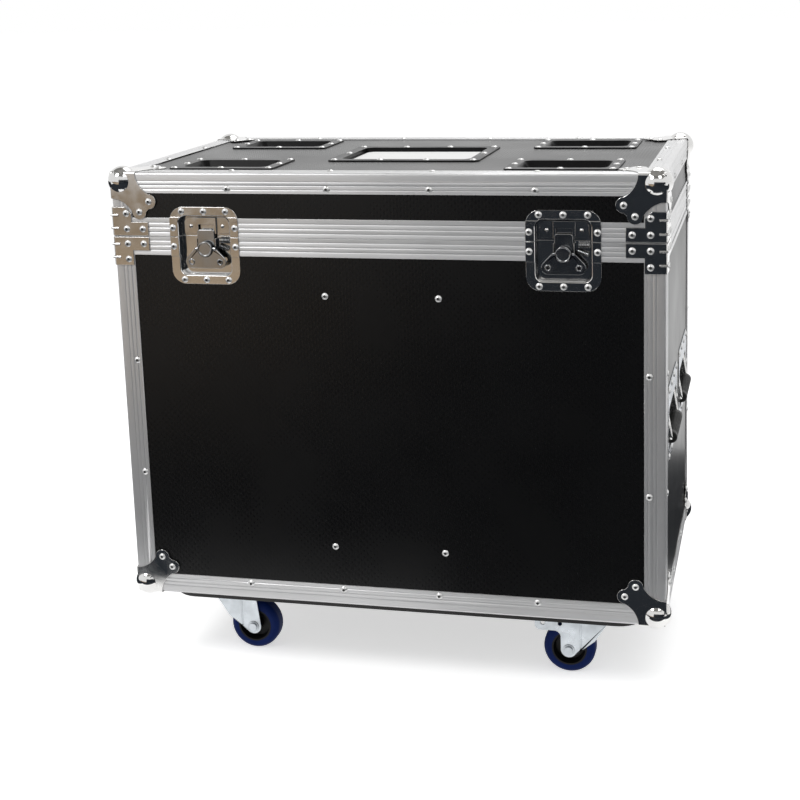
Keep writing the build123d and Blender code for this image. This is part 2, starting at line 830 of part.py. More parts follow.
def latch_hook():
    """The sliding hook plate, whose finger bends in towards the keeper."""
    half = hook_width / 2
    low = -hub_below_split - hook_below_hub
    plate = round_patch(-half, half, low, hook_above_split, hook_corner)
    slot_half = spindle_radius + hook_slot_play
    slot = round_patch(-slot_half, slot_half, -hub_below_split - hook_travel - slot_half,
                       -hub_below_split + slot_half, slot_half - hook_slot_play / 2)
    hook = raised(plate - slot, -hook_in - hook_sheet, -hook_in)
    finger_half = half - hook_corner
    return hook + raised(patch(-finger_half, finger_half, hook_above_split - hook_sheet, hook_above_split),
                         -hook_in - hook_sheet - hook_finger, -hook_in)


def latch_keeper():
    """The hat-shaped keeper in the lid, with the slot for the hook."""
    foot = keeper_half_width + keeper_foot
    keeper = raised(patch(-foot, foot, keeper_low, keeper_high), pocket_floor, pocket_floor + keeper_sheet)
    keeper = fillet(keeper.edges().filter_by(Axis.Z).sort_by(Axis.Y)[-2:], keeper_foot_corner)
    seat = pocket_floor + keeper_sheet
    for side in (-1, 1):
        bump = Pos(side * keeper_bump_x, keeper_bump_y, seat + keeper_bump_rise - keeper_bump_round)
        keeper += bump * Sphere(keeper_bump_round) - slab(-foot, foot, keeper_low, keeper_high,
                                                          -latch_width, seat)
    keeper += raised(patch(-keeper_half_width, keeper_half_width, keeper_low, keeper_high),
                     pocket_floor, -keeper_in)
    inner = keeper_half_width - keeper_sheet
    keeper -= raised(patch(-inner, inner, keeper_low - overrun, keeper_high + overrun),
                     pocket_floor - overrun, -keeper_in - keeper_sheet)
    return keeper - raised(patch(-keeper_slot_half, keeper_slot_half, keeper_slot_low, keeper_slot_high),
                           -latch_pocket, 0)


def on_front(shape, x):
    """Put a latch piece on the front face, at its place along the split."""
    return front * (Pos(x, split, 0) * shape)


def lid_half(shape):
    return shape & slab(-latch_width, latch_width, split_gap, latch_width, -latch_width, latch_width)


def base_half(shape):
    return shape & slab(-latch_width, latch_width, -latch_width, 0, -latch_width, latch_width)


latch_places = {"left": -latch_x, "right": latch_x}
whole_dish = latch_dish()
latch_cut_half = latch_mouth_half + latch_sheet + cut_play
latch_cuts = []
for x in latch_places.values():
    cut = raised(patch(-latch_cut_half, latch_cut_half, latch_mouth_low - latch_sheet - cut_play,
                       latch_mouth_high + latch_sheet + cut_play), -latch_pocket - overrun, overrun)
    latch_cuts.append(on_front(cut, x))
    for step in (-1, 0, 1):
        base_rivets.add(front, x + step * latch_rivet_pitch, split - latch_below + latch_rivet_edge,
                        latch_sheet - bar_sheet, through_panel)
        lid_rivets.add(front, x + step * latch_rivet_pitch, split + latch_above - latch_rivet_edge,
                       latch_sheet - bar_sheet, through_panel)
    for side in (-1, 1):
        base_rivets.add(front, x + side * (latch_half - latch_rivet_side_in), split - latch_rivet_side_off,
                        latch_sheet, through_panel)
        lid_rivets.add(front, x + side * (latch_half - latch_rivet_side_in), split + latch_rivet_side_off,
                       latch_sheet, through_panel)

base_front -= latch_cuts
lid_front -= latch_cuts
base_rims[0] -= latch_cuts
lid_rims[0] -= latch_cuts


# Lid hinges, drawn on the back face with the pin at height 0
def hinge_half(lower):
    """One leaf with its knuckles; the lower leaf has the odd ones."""
    half = hinge_leaf_width / 2
    turn = -1 if lower else 1
    start = hinge_knuckle_radius + hinge_leaf_gap
    low, high = sorted((turn * start, turn * hinge_leaf_height))
    leaf = raised(patch(-half, half, low, high), 0, hinge_leaf_sheet)
    outer_edges = leaf.edges().filter_by(Axis.Z).sort_by(Axis.Y)
    corners = outer_edges[:2] if lower else outer_edges[-2:]
    leaf = fillet(corners, hinge_leaf_corner)
    pitch = hinge_leaf_width / hinge_knuckle_count
    for count in range(hinge_knuckle_count):
        if (count % 2 == 0) != lower:
            continue
        x0 = -half + count * pitch + hinge_knuckle_gap / 2
        x1 = -half + (count + 1) * pitch - hinge_knuckle_gap / 2
        low, high = sorted((0, turn * start))
        leaf += raised(patch(x0, x1, low, high), 0, hinge_leaf_sheet)
        leaf += rod_x(hinge_knuckle_radius, x0, x1, 0, hinge_axis_out)
    reach = half + overrun
    return leaf - rod_x(hinge_pin_radius + hinge_pin_play, -reach, reach, 0, hinge_axis_out)


hinge_pin = rod_x(hinge_pin_radius, -hinge_leaf_width / 2, hinge_leaf_width / 2, 0, hinge_axis_out)
hinge_places = [back * Pos(x, hinge_z, 0) for x in latch_places.values()]
hinge_rivet_x = hinge_leaf_width / 2 - hinge_rivet_edge
hinge_rivet_y = hinge_leaf_height - hinge_rivet_edge
for x in latch_places.values():
    for side in (-1, 0, 1):
        for rivets, turn in ((base_rivets, -1), (lid_rivets, 1)):
            rivets.add(back, x + side * hinge_rivet_x, hinge_z + turn * hinge_rivet_y, hinge_leaf_sheet,
                       through_panel)


# Side handles, drawn on the right face with the middle of the dish at the origin
def handle_dish():
    """A pressed dish with a wide top flange and two ears for the bail."""
    half = handle_dish_width / 2
    flange = round_patch(-half, half, -handle_dish_height / 2, handle_dish_height / 2, handle_dish_corner)
    mouth = round_patch(-handle_opening_half, handle_opening_half, -handle_opening_low, handle_opening_high,
                        handle_opening_corner)
    wall_half = handle_opening_half + handle_sheet
    wall = round_patch(-wall_half, wall_half, -handle_opening_low - handle_sheet,
                       handle_opening_high + handle_sheet, handle_opening_corner + handle_sheet)
    seat = handle_sheet - bar_sheet
    dish = raised(flange, -bar_sheet, seat) + raised(wall, -handle_pocket, -bar_sheet)
    dish -= raised(mouth, handle_sheet - handle_pocket, overrun)
    for low in (-handle_opening_half, handle_opening_half - bail_ear):
        dish += rod_x(bail_ear_radius, low, low + bail_ear, bail_pivot_above, -bail_pivot_in)
    reach = wall_half + overrun
    return dish - rod_x(bail_radius + bail_play, -reach, reach, bail_pivot_above, -bail_pivot_in)


def handle_bail():
    """The bent wire of a handle, from one pivot stub to the other."""
    stub = handle_opening_half - bail_stub_gap
    grip_y = bail_pivot_above - grip_drop
    bends = [(-stub, bail_pivot_above, -bail_pivot_in), (-bail_arm, bail_pivot_above, -bail_pivot_in),
             (-bail_arm, grip_y, grip_out)]
    path = FilletPolyline(*bends, *[(-x, y, z) for x, y, z in reversed(bends)], radius=bail_bend)
    start = Plane(origin=path @ 0, z_dir=path % 0)
    return sweep(start * Circle(bail_radius), path=path)


def handle_grip():
    """The ribbed rubber tube on the wire."""
    half = grip_length / 2
    grip = Cylinder(grip_radius, grip_length)
    grip = fillet(grip.edges().filter_by(GeomType.CIRCLE), grip_end_round)
    first = -(grip_groove_count - 1) * grip_groove_pitch / 2
    for count in range(grip_groove_count):
        middle = first + count * grip_groove_pitch
        ring = Cylinder(grip_radius + overrun, grip_groove_width)
        ring -= Cylinder(grip_radius - grip_groove_depth, grip_groove_width)
        grip -= Pos(0, 0, middle) * ring
    grip -= Cylinder(bail_radius + bail_play, grip_length + half)
    return Pos(0, bail_pivot_above - grip_drop, grip_out) * Rot(0, 90, 0) * grip


handle_places = {
    "right_front": (right, -handle_off_centre),
    "right_rear": (right, handle_off_centre),
    "left_front": (left, handle_off_centre),
    "left_rear": (left, -handle_off_centre),
}
dish_shape = handle_dish()
bail_shape = handle_bail()
grip_shape = handle_grip()
handle_dishes = []
handle_cuts = []
for name, (plane, y) in handle_places.items():
    place = plane * Pos(y, handle_z, 0)
    handle_dishes.append(place * dish_shape)
    half = handle_opening_half + handle_sheet + cut_play
    cut = patch(-half, half, -handle_opening_low - handle_sheet - cut_play,
                handle_opening_high + handle_sheet + cut_play)
    handle_cuts.append(place * raised(cut, -handle_pocket, overrun))
    seat = handle_sheet - bar_sheet
    for row in (-1, 1):
        for step in (-1.5, -0.5, 0.5, 1.5):
            base_rivets.add(plane, y + step * handle_rivet_pitch, handle_z + row * handle_rivet_row, seat,
                            through_panel)
        base_rivets.add(plane, y + row * handle_rivet_side, handle_z, seat, through_panel)
    save(f"handle_bail_{name}", [place * bail_shape])
    save(f"handle_grip_{name}", [place * grip_shape])

base_right -= [cut for cut in handle_cuts if cut.center().X > 0]


# Castors, drawn round the swivel axis with the wheel trailing towards +X and the floor at height 0
def castor_plate():
    """The fixed top plate with its bearing cup, kingpin and nut."""
    half_long = castor_plate_long / 2
    half_wide = castor_plate_wide / 2
    top_face = round_patch(-half_long, half_long, -half_wide, half_wide, castor_plate_corner)
    plate = raised(top_face, castor_height - castor_plate_sheet, castor_height)
    plate += rod_z(race_radius, race_z, castor_height - castor_plate_sheet, 0, 0)
    plate += rod_z(kingpin_radius, crown_bottom - race_gap - kingpin_nut_height, race_z, 0, 0)
    nut = RegularPolygon(kingpin_nut_radius, 6)
    plate += raised(nut, crown_bottom - race_gap - kingpin_nut_height, crown_bottom - race_gap)
    for x, y in castor_bolt_points():
        plate -= rod_z(castor_bolt_radius + castor_bolt_play, castor_height - castor_plate_sheet - overrun,
                       castor_height + overrun, x, y)
    return plate


def castor_bolt_points():
    return [(x * castor_bolt_long / 2, y * castor_bolt_wide / 2) for x in (-1, 1) for y in (-1, 1)]


def castor_bolt():
    """A bolt up through the plate, the board and the floor panel, with its head below the plate."""
    seat = castor_height - castor_plate_sheet
    bolt = rod_z(castor_bolt_radius, seat, floor_top, 0, 0)
    return bolt + raised(RegularPolygon(castor_bolt_head_radius, 6), seat - castor_bolt_head_height, seat)


def fork_leg_face(braked):
    """The side of a fork leg, with x along the trail and y up."""
    face = make_hull(
        [edge for circle in (
            Pos(fork_leg_corner - crown_back, crown_top - fork_leg_corner) * Circle(fork_leg_corner),
            Pos(crown_front - fork_leg_corner, crown_top - fork_leg_corner) * Circle(fork_leg_corner),
            Pos(wheel_trail, axle_z) * Circle(fork_boss_radius),
            Pos((wheel_trail - crown_back) / 2 - fork_leg_bow, (axle_z + crown_bottom) / 2 - fork_leg_bow)
            * Circle(fork_leg_corner),
        ) for edge in circle.edges()])
    face += patch(-crown_back, crown_front, crown_top - fork_leg_corner, crown_top)
    if not braked:
        return face
    arm_low = axle_z + brake_arm_low
    face += round_patch(wheel_trail, wheel_trail + brake_arm_reach, arm_low, crown_top + brake_arm_corner,
                        brake_arm_corner)
    face &= patch(-crown_back, wheel_trail + brake_arm_reach, 0, crown_top)
    inner_x = wheel_trail + fork_boss_radius
    face += patch(wheel_trail, inner_x, axle_z, crown_top)
    gusset = patch(inner_x, inner_x + brake_arm_fillet, arm_low - brake_arm_fillet, arm_low)
    face += gusset - Pos(inner_x + brake_arm_fillet, arm_low - brake_arm_fillet) * Circle(brake_arm_fillet)
    for along in (brake_hole_near, brake_hole_far):
        face -= Pos(wheel_trail + along, axle_z + brake_hole_rise) * Circle(brake_hole_radius)
    return face


def castor_fork(braked):
    """The pressed fork with its crown, the axle bolt and, on a braked castor, the brake pins."""
    outer = fork_inner_half + fork_sheet
    crown = patch(-crown_back, crown_front, -outer, outer)
    fork = raised(crown, crown_bottom, crown_top)
    leg = extrude(Plane.XZ * fork_leg_face(braked), amount=fork_sheet)
    fork += Pos(0, -fork_inner_half, 0) * leg
    fork += Pos(0, outer, 0) * leg
    for side in (-1, 1):
        crease_y = side * (outer + fork_crease_radius - fork_crease_depth)
        fork -= rod_z(fork_crease_radius, fork_crease_low, crown_top + overrun, fork_crease_x, crease_y)
    fork -= rod_z(kingpin_radius + kingpin_play, crown_bottom - overrun, crown_top + overrun, 0, 0)
    pieces = [fork - rod_y(axle_radius, -outer - overrun, outer + overrun, wheel_trail, axle_z)]
    axle = rod_y(axle_radius, -outer, outer + axle_nut_height, wheel_trail, axle_z)
    axle += rod_y(axle_head_radius, -outer - axle_head_height, -outer, wheel_trail, axle_z)
    axle += rod_y(axle_washer_radius, -outer - axle_washer_height, -outer, wheel_trail, axle_z)
    nut = Plane.XZ * (Pos(wheel_trail, axle_z) * RegularPolygon(axle_head_radius, 6))
    axle += Pos(0, outer + axle_nut_height, 0) * extrude(nut, amount=axle_nut_height)
    pieces.append(axle)
    if braked:
        z = axle_z + brake_pin_rise
        x = wheel_trail + brake_pin_near
        pieces[0] -= rod_y(brake_pin_radius, -outer - overrun, outer + overrun, x, z)
        pin = rod_y(brake_pin_radius, -outer, outer, x, z)
        for side in (-1, 1):
            low, high = sorted((side * outer, side * (outer + brake_pin_head_height)))
            pin += rod_y(brake_pin_head, low, high, x, z)
        pieces.append(pin)
    return pieces


def castor_core():
    """The wheel core: rim, recessed web and hub."""
    half = wheel_width / 2
    hub_half = fork_inner_half - wheel_side_gap
    core = rod_y(core_radius, -half, half, wheel_trail, axle_z)
    dish = Cone(core_radius - core_rim, core_radius - core_rim - core_dish_draft, half - core_web / 2)
    depth = (half + core_web / 2) / 2
    for side in (-1, 1):
        core -= Pos(wheel_trail, side * depth, axle_z) * Rot(side * 90, 0, 0) * dish
    core += rod_y(core_hub_radius, -hub_half, hub_half, wheel_trail, axle_z)
    return core - rod_y(axle_radius + axle_play, -wheel_width, wheel_width, wheel_trail, axle_z)


def castor_tyre():
    """The elastic tyre with its rounded tread."""
    half = wheel_width / 2
    tyre = rod_y(wheel_radius, -half, half, wheel_trail, axle_z)
    tread = tyre.edges().filter_by(GeomType.CIRCLE)
    tyre = fillet(tread, wheel_round)
    return tyre - rod_y(core_radius, -wheel_width, wheel_width, wheel_trail, axle_z)


def brake_pedal():
    """The pedal that swings on the brake pin and presses its shoe towards the tyre."""
    x = wheel_trail + brake_pin_near
    z = axle_z + brake_pin_rise
    half = brake_pedal_half
    pedal = rod_y(brake_eye_radius, -half, half, x, z)
    low = z + brake_pedal_rise
    pedal += slab(x, x + brake_pedal_reach, -half, half, low, low + brake_pedal_sheet)
    pedal += slab(x + brake_shoe_start, x + brake_shoe_end, -half, half, z - brake_shoe_drop, low)
    return pedal - rod_y(brake_pin_radius + brake_pin_play, -half - overrun, half + overrun, x, z)


castor_places = {
    "front_left": (-castor_x, -castor_y, 1, False),
    "front_right": (castor_x, -castor_y, -1, True),
    "rear_left": (-castor_x, castor_y, 1, False),
    "rear_right": (castor_x, castor_y, -1, True),
}
plate_shape = castor_plate()
bolt_shape = castor_bolt()
core_shape = castor_core()
tyre_shape = castor_tyre()
pedal_shape = brake_pedal()
castor_plates = []
castor_bolts = []
bolt_drills = []
for name, (x, y, trail, braked) in castor_places.items():
    place = Pos(x, y, 0)

    def set_down(shape):
        return place * (shape if trail > 0 else swap_sides(shape))

    castor_plates.append(place * plate_shape)
    for bolt_x, bolt_y in castor_bolt_points():
        castor_bolts.append(Pos(x + bolt_x, y + bolt_y, 0) * bolt_shape)
        bolt_drills.append(rod_z(castor_bolt_radius + castor_bolt_play, castor_height - overrun,
                                 floor_top + overrun, x + bolt_x, y + bolt_y))
    save(f"castor_fork_{name}", [set_down(piece) for piece in castor_fork(braked)])
    save(f"wheel_core_{name}", [set_down(core_shape)])
    save(f"wheel_tyre_{name}", [set_down(tyre_shape)])
    if braked:
        save(f"brake_pedal_{name}", [set_down(pedal_shape)])


# Lid dishes
def castor_dish():
    """A dish in the lid that takes the wheel of a case stacked on top."""
    def ring(long, wide, corner):
        return RectangleRounded(long, wide, corner)

    flange = ring(castor_dish_long, castor_dish_wide, castor_dish_corner)
    slope = castor_dish_mouth_corner * castor_dish_floor_wide / castor_dish_mouth_wide

    def bowl(extra, low, high):
        mouth = ring(castor_dish_mouth_long + extra, castor_dish_mouth_wide + extra,
                     castor_dish_mouth_corner + extra / 2)
        floor = ring(castor_dish_floor_long + extra, castor_dish_floor_wide + extra, slope + extra / 2)
        return loft([Pos(0, 0, low) * floor, Pos(0, 0, high) * mouth])

    outer = bowl(2 * dish_sheet, -castor_dish_depth, 0)
    inner = bowl(0, dish_sheet - castor_dish_depth, dish_sheet)
    return raised(flange, 0, dish_sheet) + outer - inner


def label_dish():
    """The shallow dish that frames a label card."""
    flange = RectangleRounded(label_dish_long, label_dish_wide, label_dish_corner)
    mouth = RectangleRounded(label_mouth_long, label_mouth_wide, label_mouth_corner)
    wall = RectangleRounded(label_mouth_long + 2 * dish_sheet, label_mouth_wide + 2 * dish_sheet,
                            label_mouth_corner + dish_sheet)
    dish = raised(flange, 0, dish_sheet) + raised(wall, -label_depth - dish_sheet, 0)
    return dish - raised(mouth, -label_depth, dish_sheet + overrun)


lid_face = Plane(origin=(0, 0, lid_top - bar_sheet), x_dir=(1, 0, 0), z_dir=(0, 0, 1))
dish_shape = castor_dish()
lid_dishes = []
lid_cuts = []
for x in (-castor_dish_x, castor_dish_x):
    for y in (-castor_dish_y, castor_dish_y):
        lid_dishes.append(lid_face * Pos(x, y, 0) * dish_shape)
        hole = RectangleRounded(castor_dish_mouth_long + 2 * (dish_sheet + cut_play),
                                castor_dish_mouth_wide + 2 * (dish_sheet + cut_play),
                                castor_dish_mouth_corner + dish_sheet)
        lid_cuts.append(lid_face * Pos(x, y, 0) * raised(hole, -castor_dish_depth, overrun))
        row_x = castor_dish_long / 2 - castor_dish_rivet_edge
        row_y = castor_dish_wide / 2 - castor_dish_rivet_edge
        for along in (-1, 0, 1):
            for across in (-1, 0, 1):
                if along or across:
                    lid_rivets.add(lid_face, x + along * row_x, y + across * row_y, dish_sheet,
                                   -panel_thickness)
label_frame = lid_face * label_dish()
label_hole = RectangleRounded(label_mouth_long + 2 * (dish_sheet + cut_play),
                              label_mouth_wide + 2 * (dish_sheet + cut_play), label_mouth_corner)
lid_cuts.append(lid_face * raised(label_hole, -castor_dish_depth, overrun))
label_card = lid_face * raised(
    RectangleRounded(label_card_long, label_card_wide, label_mouth_corner), -label_depth,
    label_card_thickness - label_depth)
for across in (-1, 1):
    for step in (-1.5, -0.5, 0.5, 1.5):
        lid_rivets.add(lid_face, step * label_rivet_pitch, across * (label_dish_wide / 2 - label_rivet_edge),
                       dish_sheet, -panel_thickness)
    lid_rivets.add(lid_face, across * (label_dish_long / 2 - label_rivet_edge), 0, dish_sheet,
                   -panel_thickness)
lid_panel -= lid_cuts


# Inside of the case
def divider_channel():
    """A channel on the inner face of the front wall, open towards the back."""
    half = divider_thickness / 2 + divider_play + divider_channel_sheet
    face = patch(-half, half, 0, divider_channel_depth)
    inner = half - divider_channel_sheet
    face -= patch(-inner, inner, divider_channel_sheet, divider_channel_depth)
    return raised(face, case_bottom + divider_channel_low, case_bottom + divider_channel_high)


channel_shape = Pos(divider_x, wall_in - half_d, 0) * divider_channel()
divider_channels = four_ways(channel_shape)
divider_end = half_d - wall_in - divider_channel_sheet - divider_play
divider_board = slab(divider_x - divider_thickness / 2, divider_x + divider_thickness / 2, -divider_end,
                     divider_end, case_bottom + bar_inner_face, case_bottom + divider_top)
for x in (-divider_x, divider_x):
    for height in (divider_low_rivet, divider_high_rivet):
        for plane in (front, back):
            base_rivets.add(plane, x, case_bottom + height, -bar_sheet,
                            -slot_end - divider_channel_sheet)

bay_edge = divider_x - divider_thickness / 2 - floor_pad_gap
side_start = divider_x + divider_thickness / 2 + floor_pad_gap
pad_y = half_d - floor_pad_inset
pad_top = floor_top + floor_pad_thickness
middle_pad = raised(round_patch(-bay_edge, bay_edge, -pad_y, pad_y, pad_corner), floor_top, pad_top)
side_pad = raised(round_patch(side_start, half_w - floor_pad_inset, -pad_y, pad_y, pad_corner),
                  floor_top, pad_top)
lid_pad_face = round_patch(-lid_pad_long / 2, lid_pad_long / 2, -lid_pad_wide / 2, lid_pad_wide / 2,
                           pad_corner)
lid_ceiling = lid_top - slot_end
lid_pad = raised(lid_pad_face, lid_ceiling - lid_pad_thickness, lid_ceiling)

# Write the nodes of the base
save("base_front_panel", drilled(base_front, base_rivets.drills))
save("base_back_panel", drilled(base_back, base_rivets.drills))
save("base_side_panels",
     [solid for panel in both_sides(base_right) for solid in drilled(panel, base_rivets.drills)])
save("base_floor_panel", drilled(base_floor, base_rivets.drills + bolt_drills))
save("base_edge_bars", [solid for bar in base_bars for solid in drilled(bar, base_rivets.drills)])
save("base_rim", [solid for bar in base_rims for solid in drilled(bar, base_rivets.drills)])
save("base_ball_corners", [solid for ball in base_balls for solid in drilled(ball, base_rivets.drills)])
save("base_corner_braces", [solid for piece in base_braces for solid in drilled(piece, base_rivets.drills)])
save("base_rivets_and_bolts", base_rivets.rivets + castor_bolts)
save("castor_board", drilled(castor_board, bolt_drills))
save("castor_plates", castor_plates)
save("handle_dishes", [solid for dish in handle_dishes for solid in drilled(dish, base_rivets.drills)])
lower_dishes = [on_front(base_half(whole_dish), x) for x in latch_places.values()]
save("latch_lower_dishes", [solid for dish in lower_dishes for solid in drilled(dish, base_rivets.drills)])
save("latch_bases", [on_front(latch_base(), x) for x in latch_places.values()])
lower_leaves = [place * hinge_half(True) for place in hinge_places]
save("hinge_lower_leaves", [solid for leaf in lower_leaves for solid in drilled(leaf, base_rivets.drills)]
     + [place * hinge_pin for place in hinge_places])
save("divider_channels",
     [solid for piece in divider_channels for solid in drilled(piece, base_rivets.drills)])
save("divider_boards", both_sides(divider_board))
save("floor_pads", [middle_pad] + both_sides(side_pad))

# Write the nodes of the lid
save("lid_top_panel", drilled(lid_panel, lid_rivets.drills))
lid_walls = [lid_front, lid_back] + both_sides(lid_right)
save("lid_wall_panels", [solid for wall in lid_walls for solid in drilled(wall, lid_rivets.drills)])
save("lid_edge_bars", [solid for bar in lid_bars for solid in drilled(bar, lid_rivets.drills)])
save("lid_rim", [solid for bar in lid_rims for solid in drilled(bar, lid_rivets.drills)])
save("lid_ball_corners", [solid for ball in lid_balls for solid in drilled(ball, lid_rivets.drills)])
save("lid_corner_braces", [solid for piece in lid_braces for solid in drilled(piece, lid_rivets.drills)])
save("lid_rivets", lid_rivets.rivets)
save("castor_dishes", [solid for dish in lid_dishes for solid in drilled(dish, lid_rivets.drills)])
save("label_dish", drilled(label_frame, lid_rivets.drills))
save("label_card", [label_card])
upper_dishes = [on_front(lid_half(whole_dish), x) for x in latch_places.values()]
save("latch_upper_dishes", [solid for dish in upper_dishes for solid in drilled(dish, lid_rivets.drills)])
save("latch_keepers", [on_front(latch_keeper(), x) for x in latch_places.values()])
upper_leaves = [place * hinge_half(False) for place in hinge_places]
save("hinge_upper_leaves", [solid for leaf in upper_leaves for solid in drilled(leaf, lid_rivets.drills)])
save("lid_pad", [lid_pad])

# Write the moving pieces of the latches
for name, x in latch_places.items():
    save(f"latch_hub_{name}", [on_front(latch_hub(), x)])
    save(f"latch_wing_{name}", [on_front(latch_wing(), x)])
    save(f"latch_hook_{name}", [on_front(latch_hook(), x)])
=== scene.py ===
"""Dresses a lighting flight case.

It finishes the boards, bars and fittings, adds the latch springs and the foam, and sets up the studio.
Lengths are in metres.
"""

import math

import bmesh
import bpy
from bpy.props import FloatProperty, FloatVectorProperty, IntProperty, PointerProperty
from mathutils import Matrix, Vector


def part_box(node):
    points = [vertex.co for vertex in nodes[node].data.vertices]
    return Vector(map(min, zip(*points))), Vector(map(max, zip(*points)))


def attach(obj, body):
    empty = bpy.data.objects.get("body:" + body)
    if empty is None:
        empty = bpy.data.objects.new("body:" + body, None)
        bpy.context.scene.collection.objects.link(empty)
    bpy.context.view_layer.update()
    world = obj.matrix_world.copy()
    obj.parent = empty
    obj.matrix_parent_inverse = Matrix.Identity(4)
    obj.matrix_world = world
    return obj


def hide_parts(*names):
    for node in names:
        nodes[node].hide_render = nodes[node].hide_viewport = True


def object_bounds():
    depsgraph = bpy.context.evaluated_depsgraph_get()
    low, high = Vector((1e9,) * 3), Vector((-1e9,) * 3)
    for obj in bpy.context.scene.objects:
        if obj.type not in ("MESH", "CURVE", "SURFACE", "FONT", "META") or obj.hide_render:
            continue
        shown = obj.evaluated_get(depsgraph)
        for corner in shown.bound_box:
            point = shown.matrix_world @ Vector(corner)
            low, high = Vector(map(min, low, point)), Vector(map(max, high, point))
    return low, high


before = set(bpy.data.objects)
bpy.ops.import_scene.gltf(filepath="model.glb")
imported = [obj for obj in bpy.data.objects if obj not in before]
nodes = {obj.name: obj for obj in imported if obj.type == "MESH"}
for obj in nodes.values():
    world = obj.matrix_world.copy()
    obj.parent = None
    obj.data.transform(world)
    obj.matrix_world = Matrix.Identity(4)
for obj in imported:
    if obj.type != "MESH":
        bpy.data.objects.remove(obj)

bl_info = {
    "name": "Lighting Flight Case",
    "version": (1, 0, 0),
    "blender": (4, 5, 0),
    "location": "View3D > Sidebar > Flight Case",
    "description": "Dresses a lighting flight case and its studio",
    "category": "Object",
}

cad_box = [list(corner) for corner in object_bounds()]
sides = ("left", "right")
ends = ("front", "rear")
handle_places = [f"{side}_{end}" for side in sides for end in ends]
castor_places = [f"{end}_{side}" for end in ends for side in sides]


# Settings that a user would change
class CaseFinish(bpy.types.PropertyGroup):
    """Colours of the case's finishes."""

    film: FloatVectorProperty(name="Panel Film", description="Film on the plywood panels", subtype="COLOR",
                              default=(0.0028, 0.0028, 0.003))
    bar: FloatVectorProperty(name="Bars", description="Anodised edge bars and rims", subtype="COLOR",
                             default=(0.72, 0.72, 0.725))
    chrome: FloatVectorProperty(name="Chrome", description="Bright plated fittings", subtype="COLOR",
                                default=(0.74, 0.735, 0.725))
    forged: FloatVectorProperty(name="Forged Plate", description="Plated hubs, wings and hooks",
                                subtype="COLOR", default=(0.46, 0.47, 0.48))
    rivet: FloatVectorProperty(name="Rivets", description="Plated rivets", subtype="COLOR",
                               default=(0.74, 0.74, 0.735))
    coat: FloatVectorProperty(name="Dish Coat", description="Powder coat of the lid dishes", subtype="COLOR",
                              default=(0.005, 0.005, 0.0055))
    zinc: FloatVectorProperty(name="Castor Zinc", description="Zinc plate of forks and plates",
                              subtype="COLOR", default=(0.66, 0.70, 0.735))
    tyre: FloatVectorProperty(name="Tyre", description="Elastic rubber of the tyres", subtype="COLOR",
                              default=(0.002, 0.016, 0.115))
    moulding: FloatVectorProperty(name="Moulded Black", description="Wheel cores and grips", subtype="COLOR",
                                  default=(0.006, 0.006, 0.006))
    paint: FloatVectorProperty(name="Board Paint", description="Paint on the castor board", subtype="COLOR",
                               default=(0.011, 0.010, 0.010))
    card: FloatVectorProperty(name="Card", description="Blank label card", subtype="COLOR",
                              default=(0.84, 0.84, 0.83))
    foam: FloatVectorProperty(name="Foam", description="Foam pads", subtype="COLOR",
                              default=(0.022, 0.022, 0.025))


class CaseTrim(bpy.types.PropertyGroup):
    """Sizes of the pieces that are added to the frame."""

    sheet_round: FloatProperty(name="Sheet Edge Round", description="Rounding of pressed sheet edges",
                               default=0.00035, unit="LENGTH")
    forged_round: FloatProperty(name="Forged Edge Round", description="Rounding of hubs, wings and hooks",
                                default=0.0006, unit="LENGTH")
    bar_round: FloatProperty(name="Bar Edge Round", description="Rounding of the drawn bars' edges",
                             default=0.00025, unit="LENGTH")
    spring_radius: FloatProperty(name="Spring Radius", description="Coil radius of the latch springs",
                                 default=0.0038, unit="LENGTH")
    spring_wire: FloatProperty(name="Spring Wire", description="Wire radius of the latch springs",
                               default=0.0007, unit="LENGTH")
    spring_pitch: FloatProperty(name="Spring Pitch", description="Rise of one turn of a latch spring",
                                default=0.0022, unit="LENGTH")
    spring_turns: IntProperty(name="Spring Turns", description="Turns of one latch spring", default=7)
    foam_pitch: FloatProperty(name="Foam Pitch", description="Distance from peak to peak of the foam",
                              default=0.036, unit="LENGTH")
    foam_wave: FloatProperty(name="Foam Wave", description="Height from the foam's hollows to its peaks",
                             default=0.011, unit="LENGTH")
    foam_round: FloatProperty(name="Foam Corner", description="Rounding of the foam's upright corners",
                              default=0.012, unit="LENGTH")


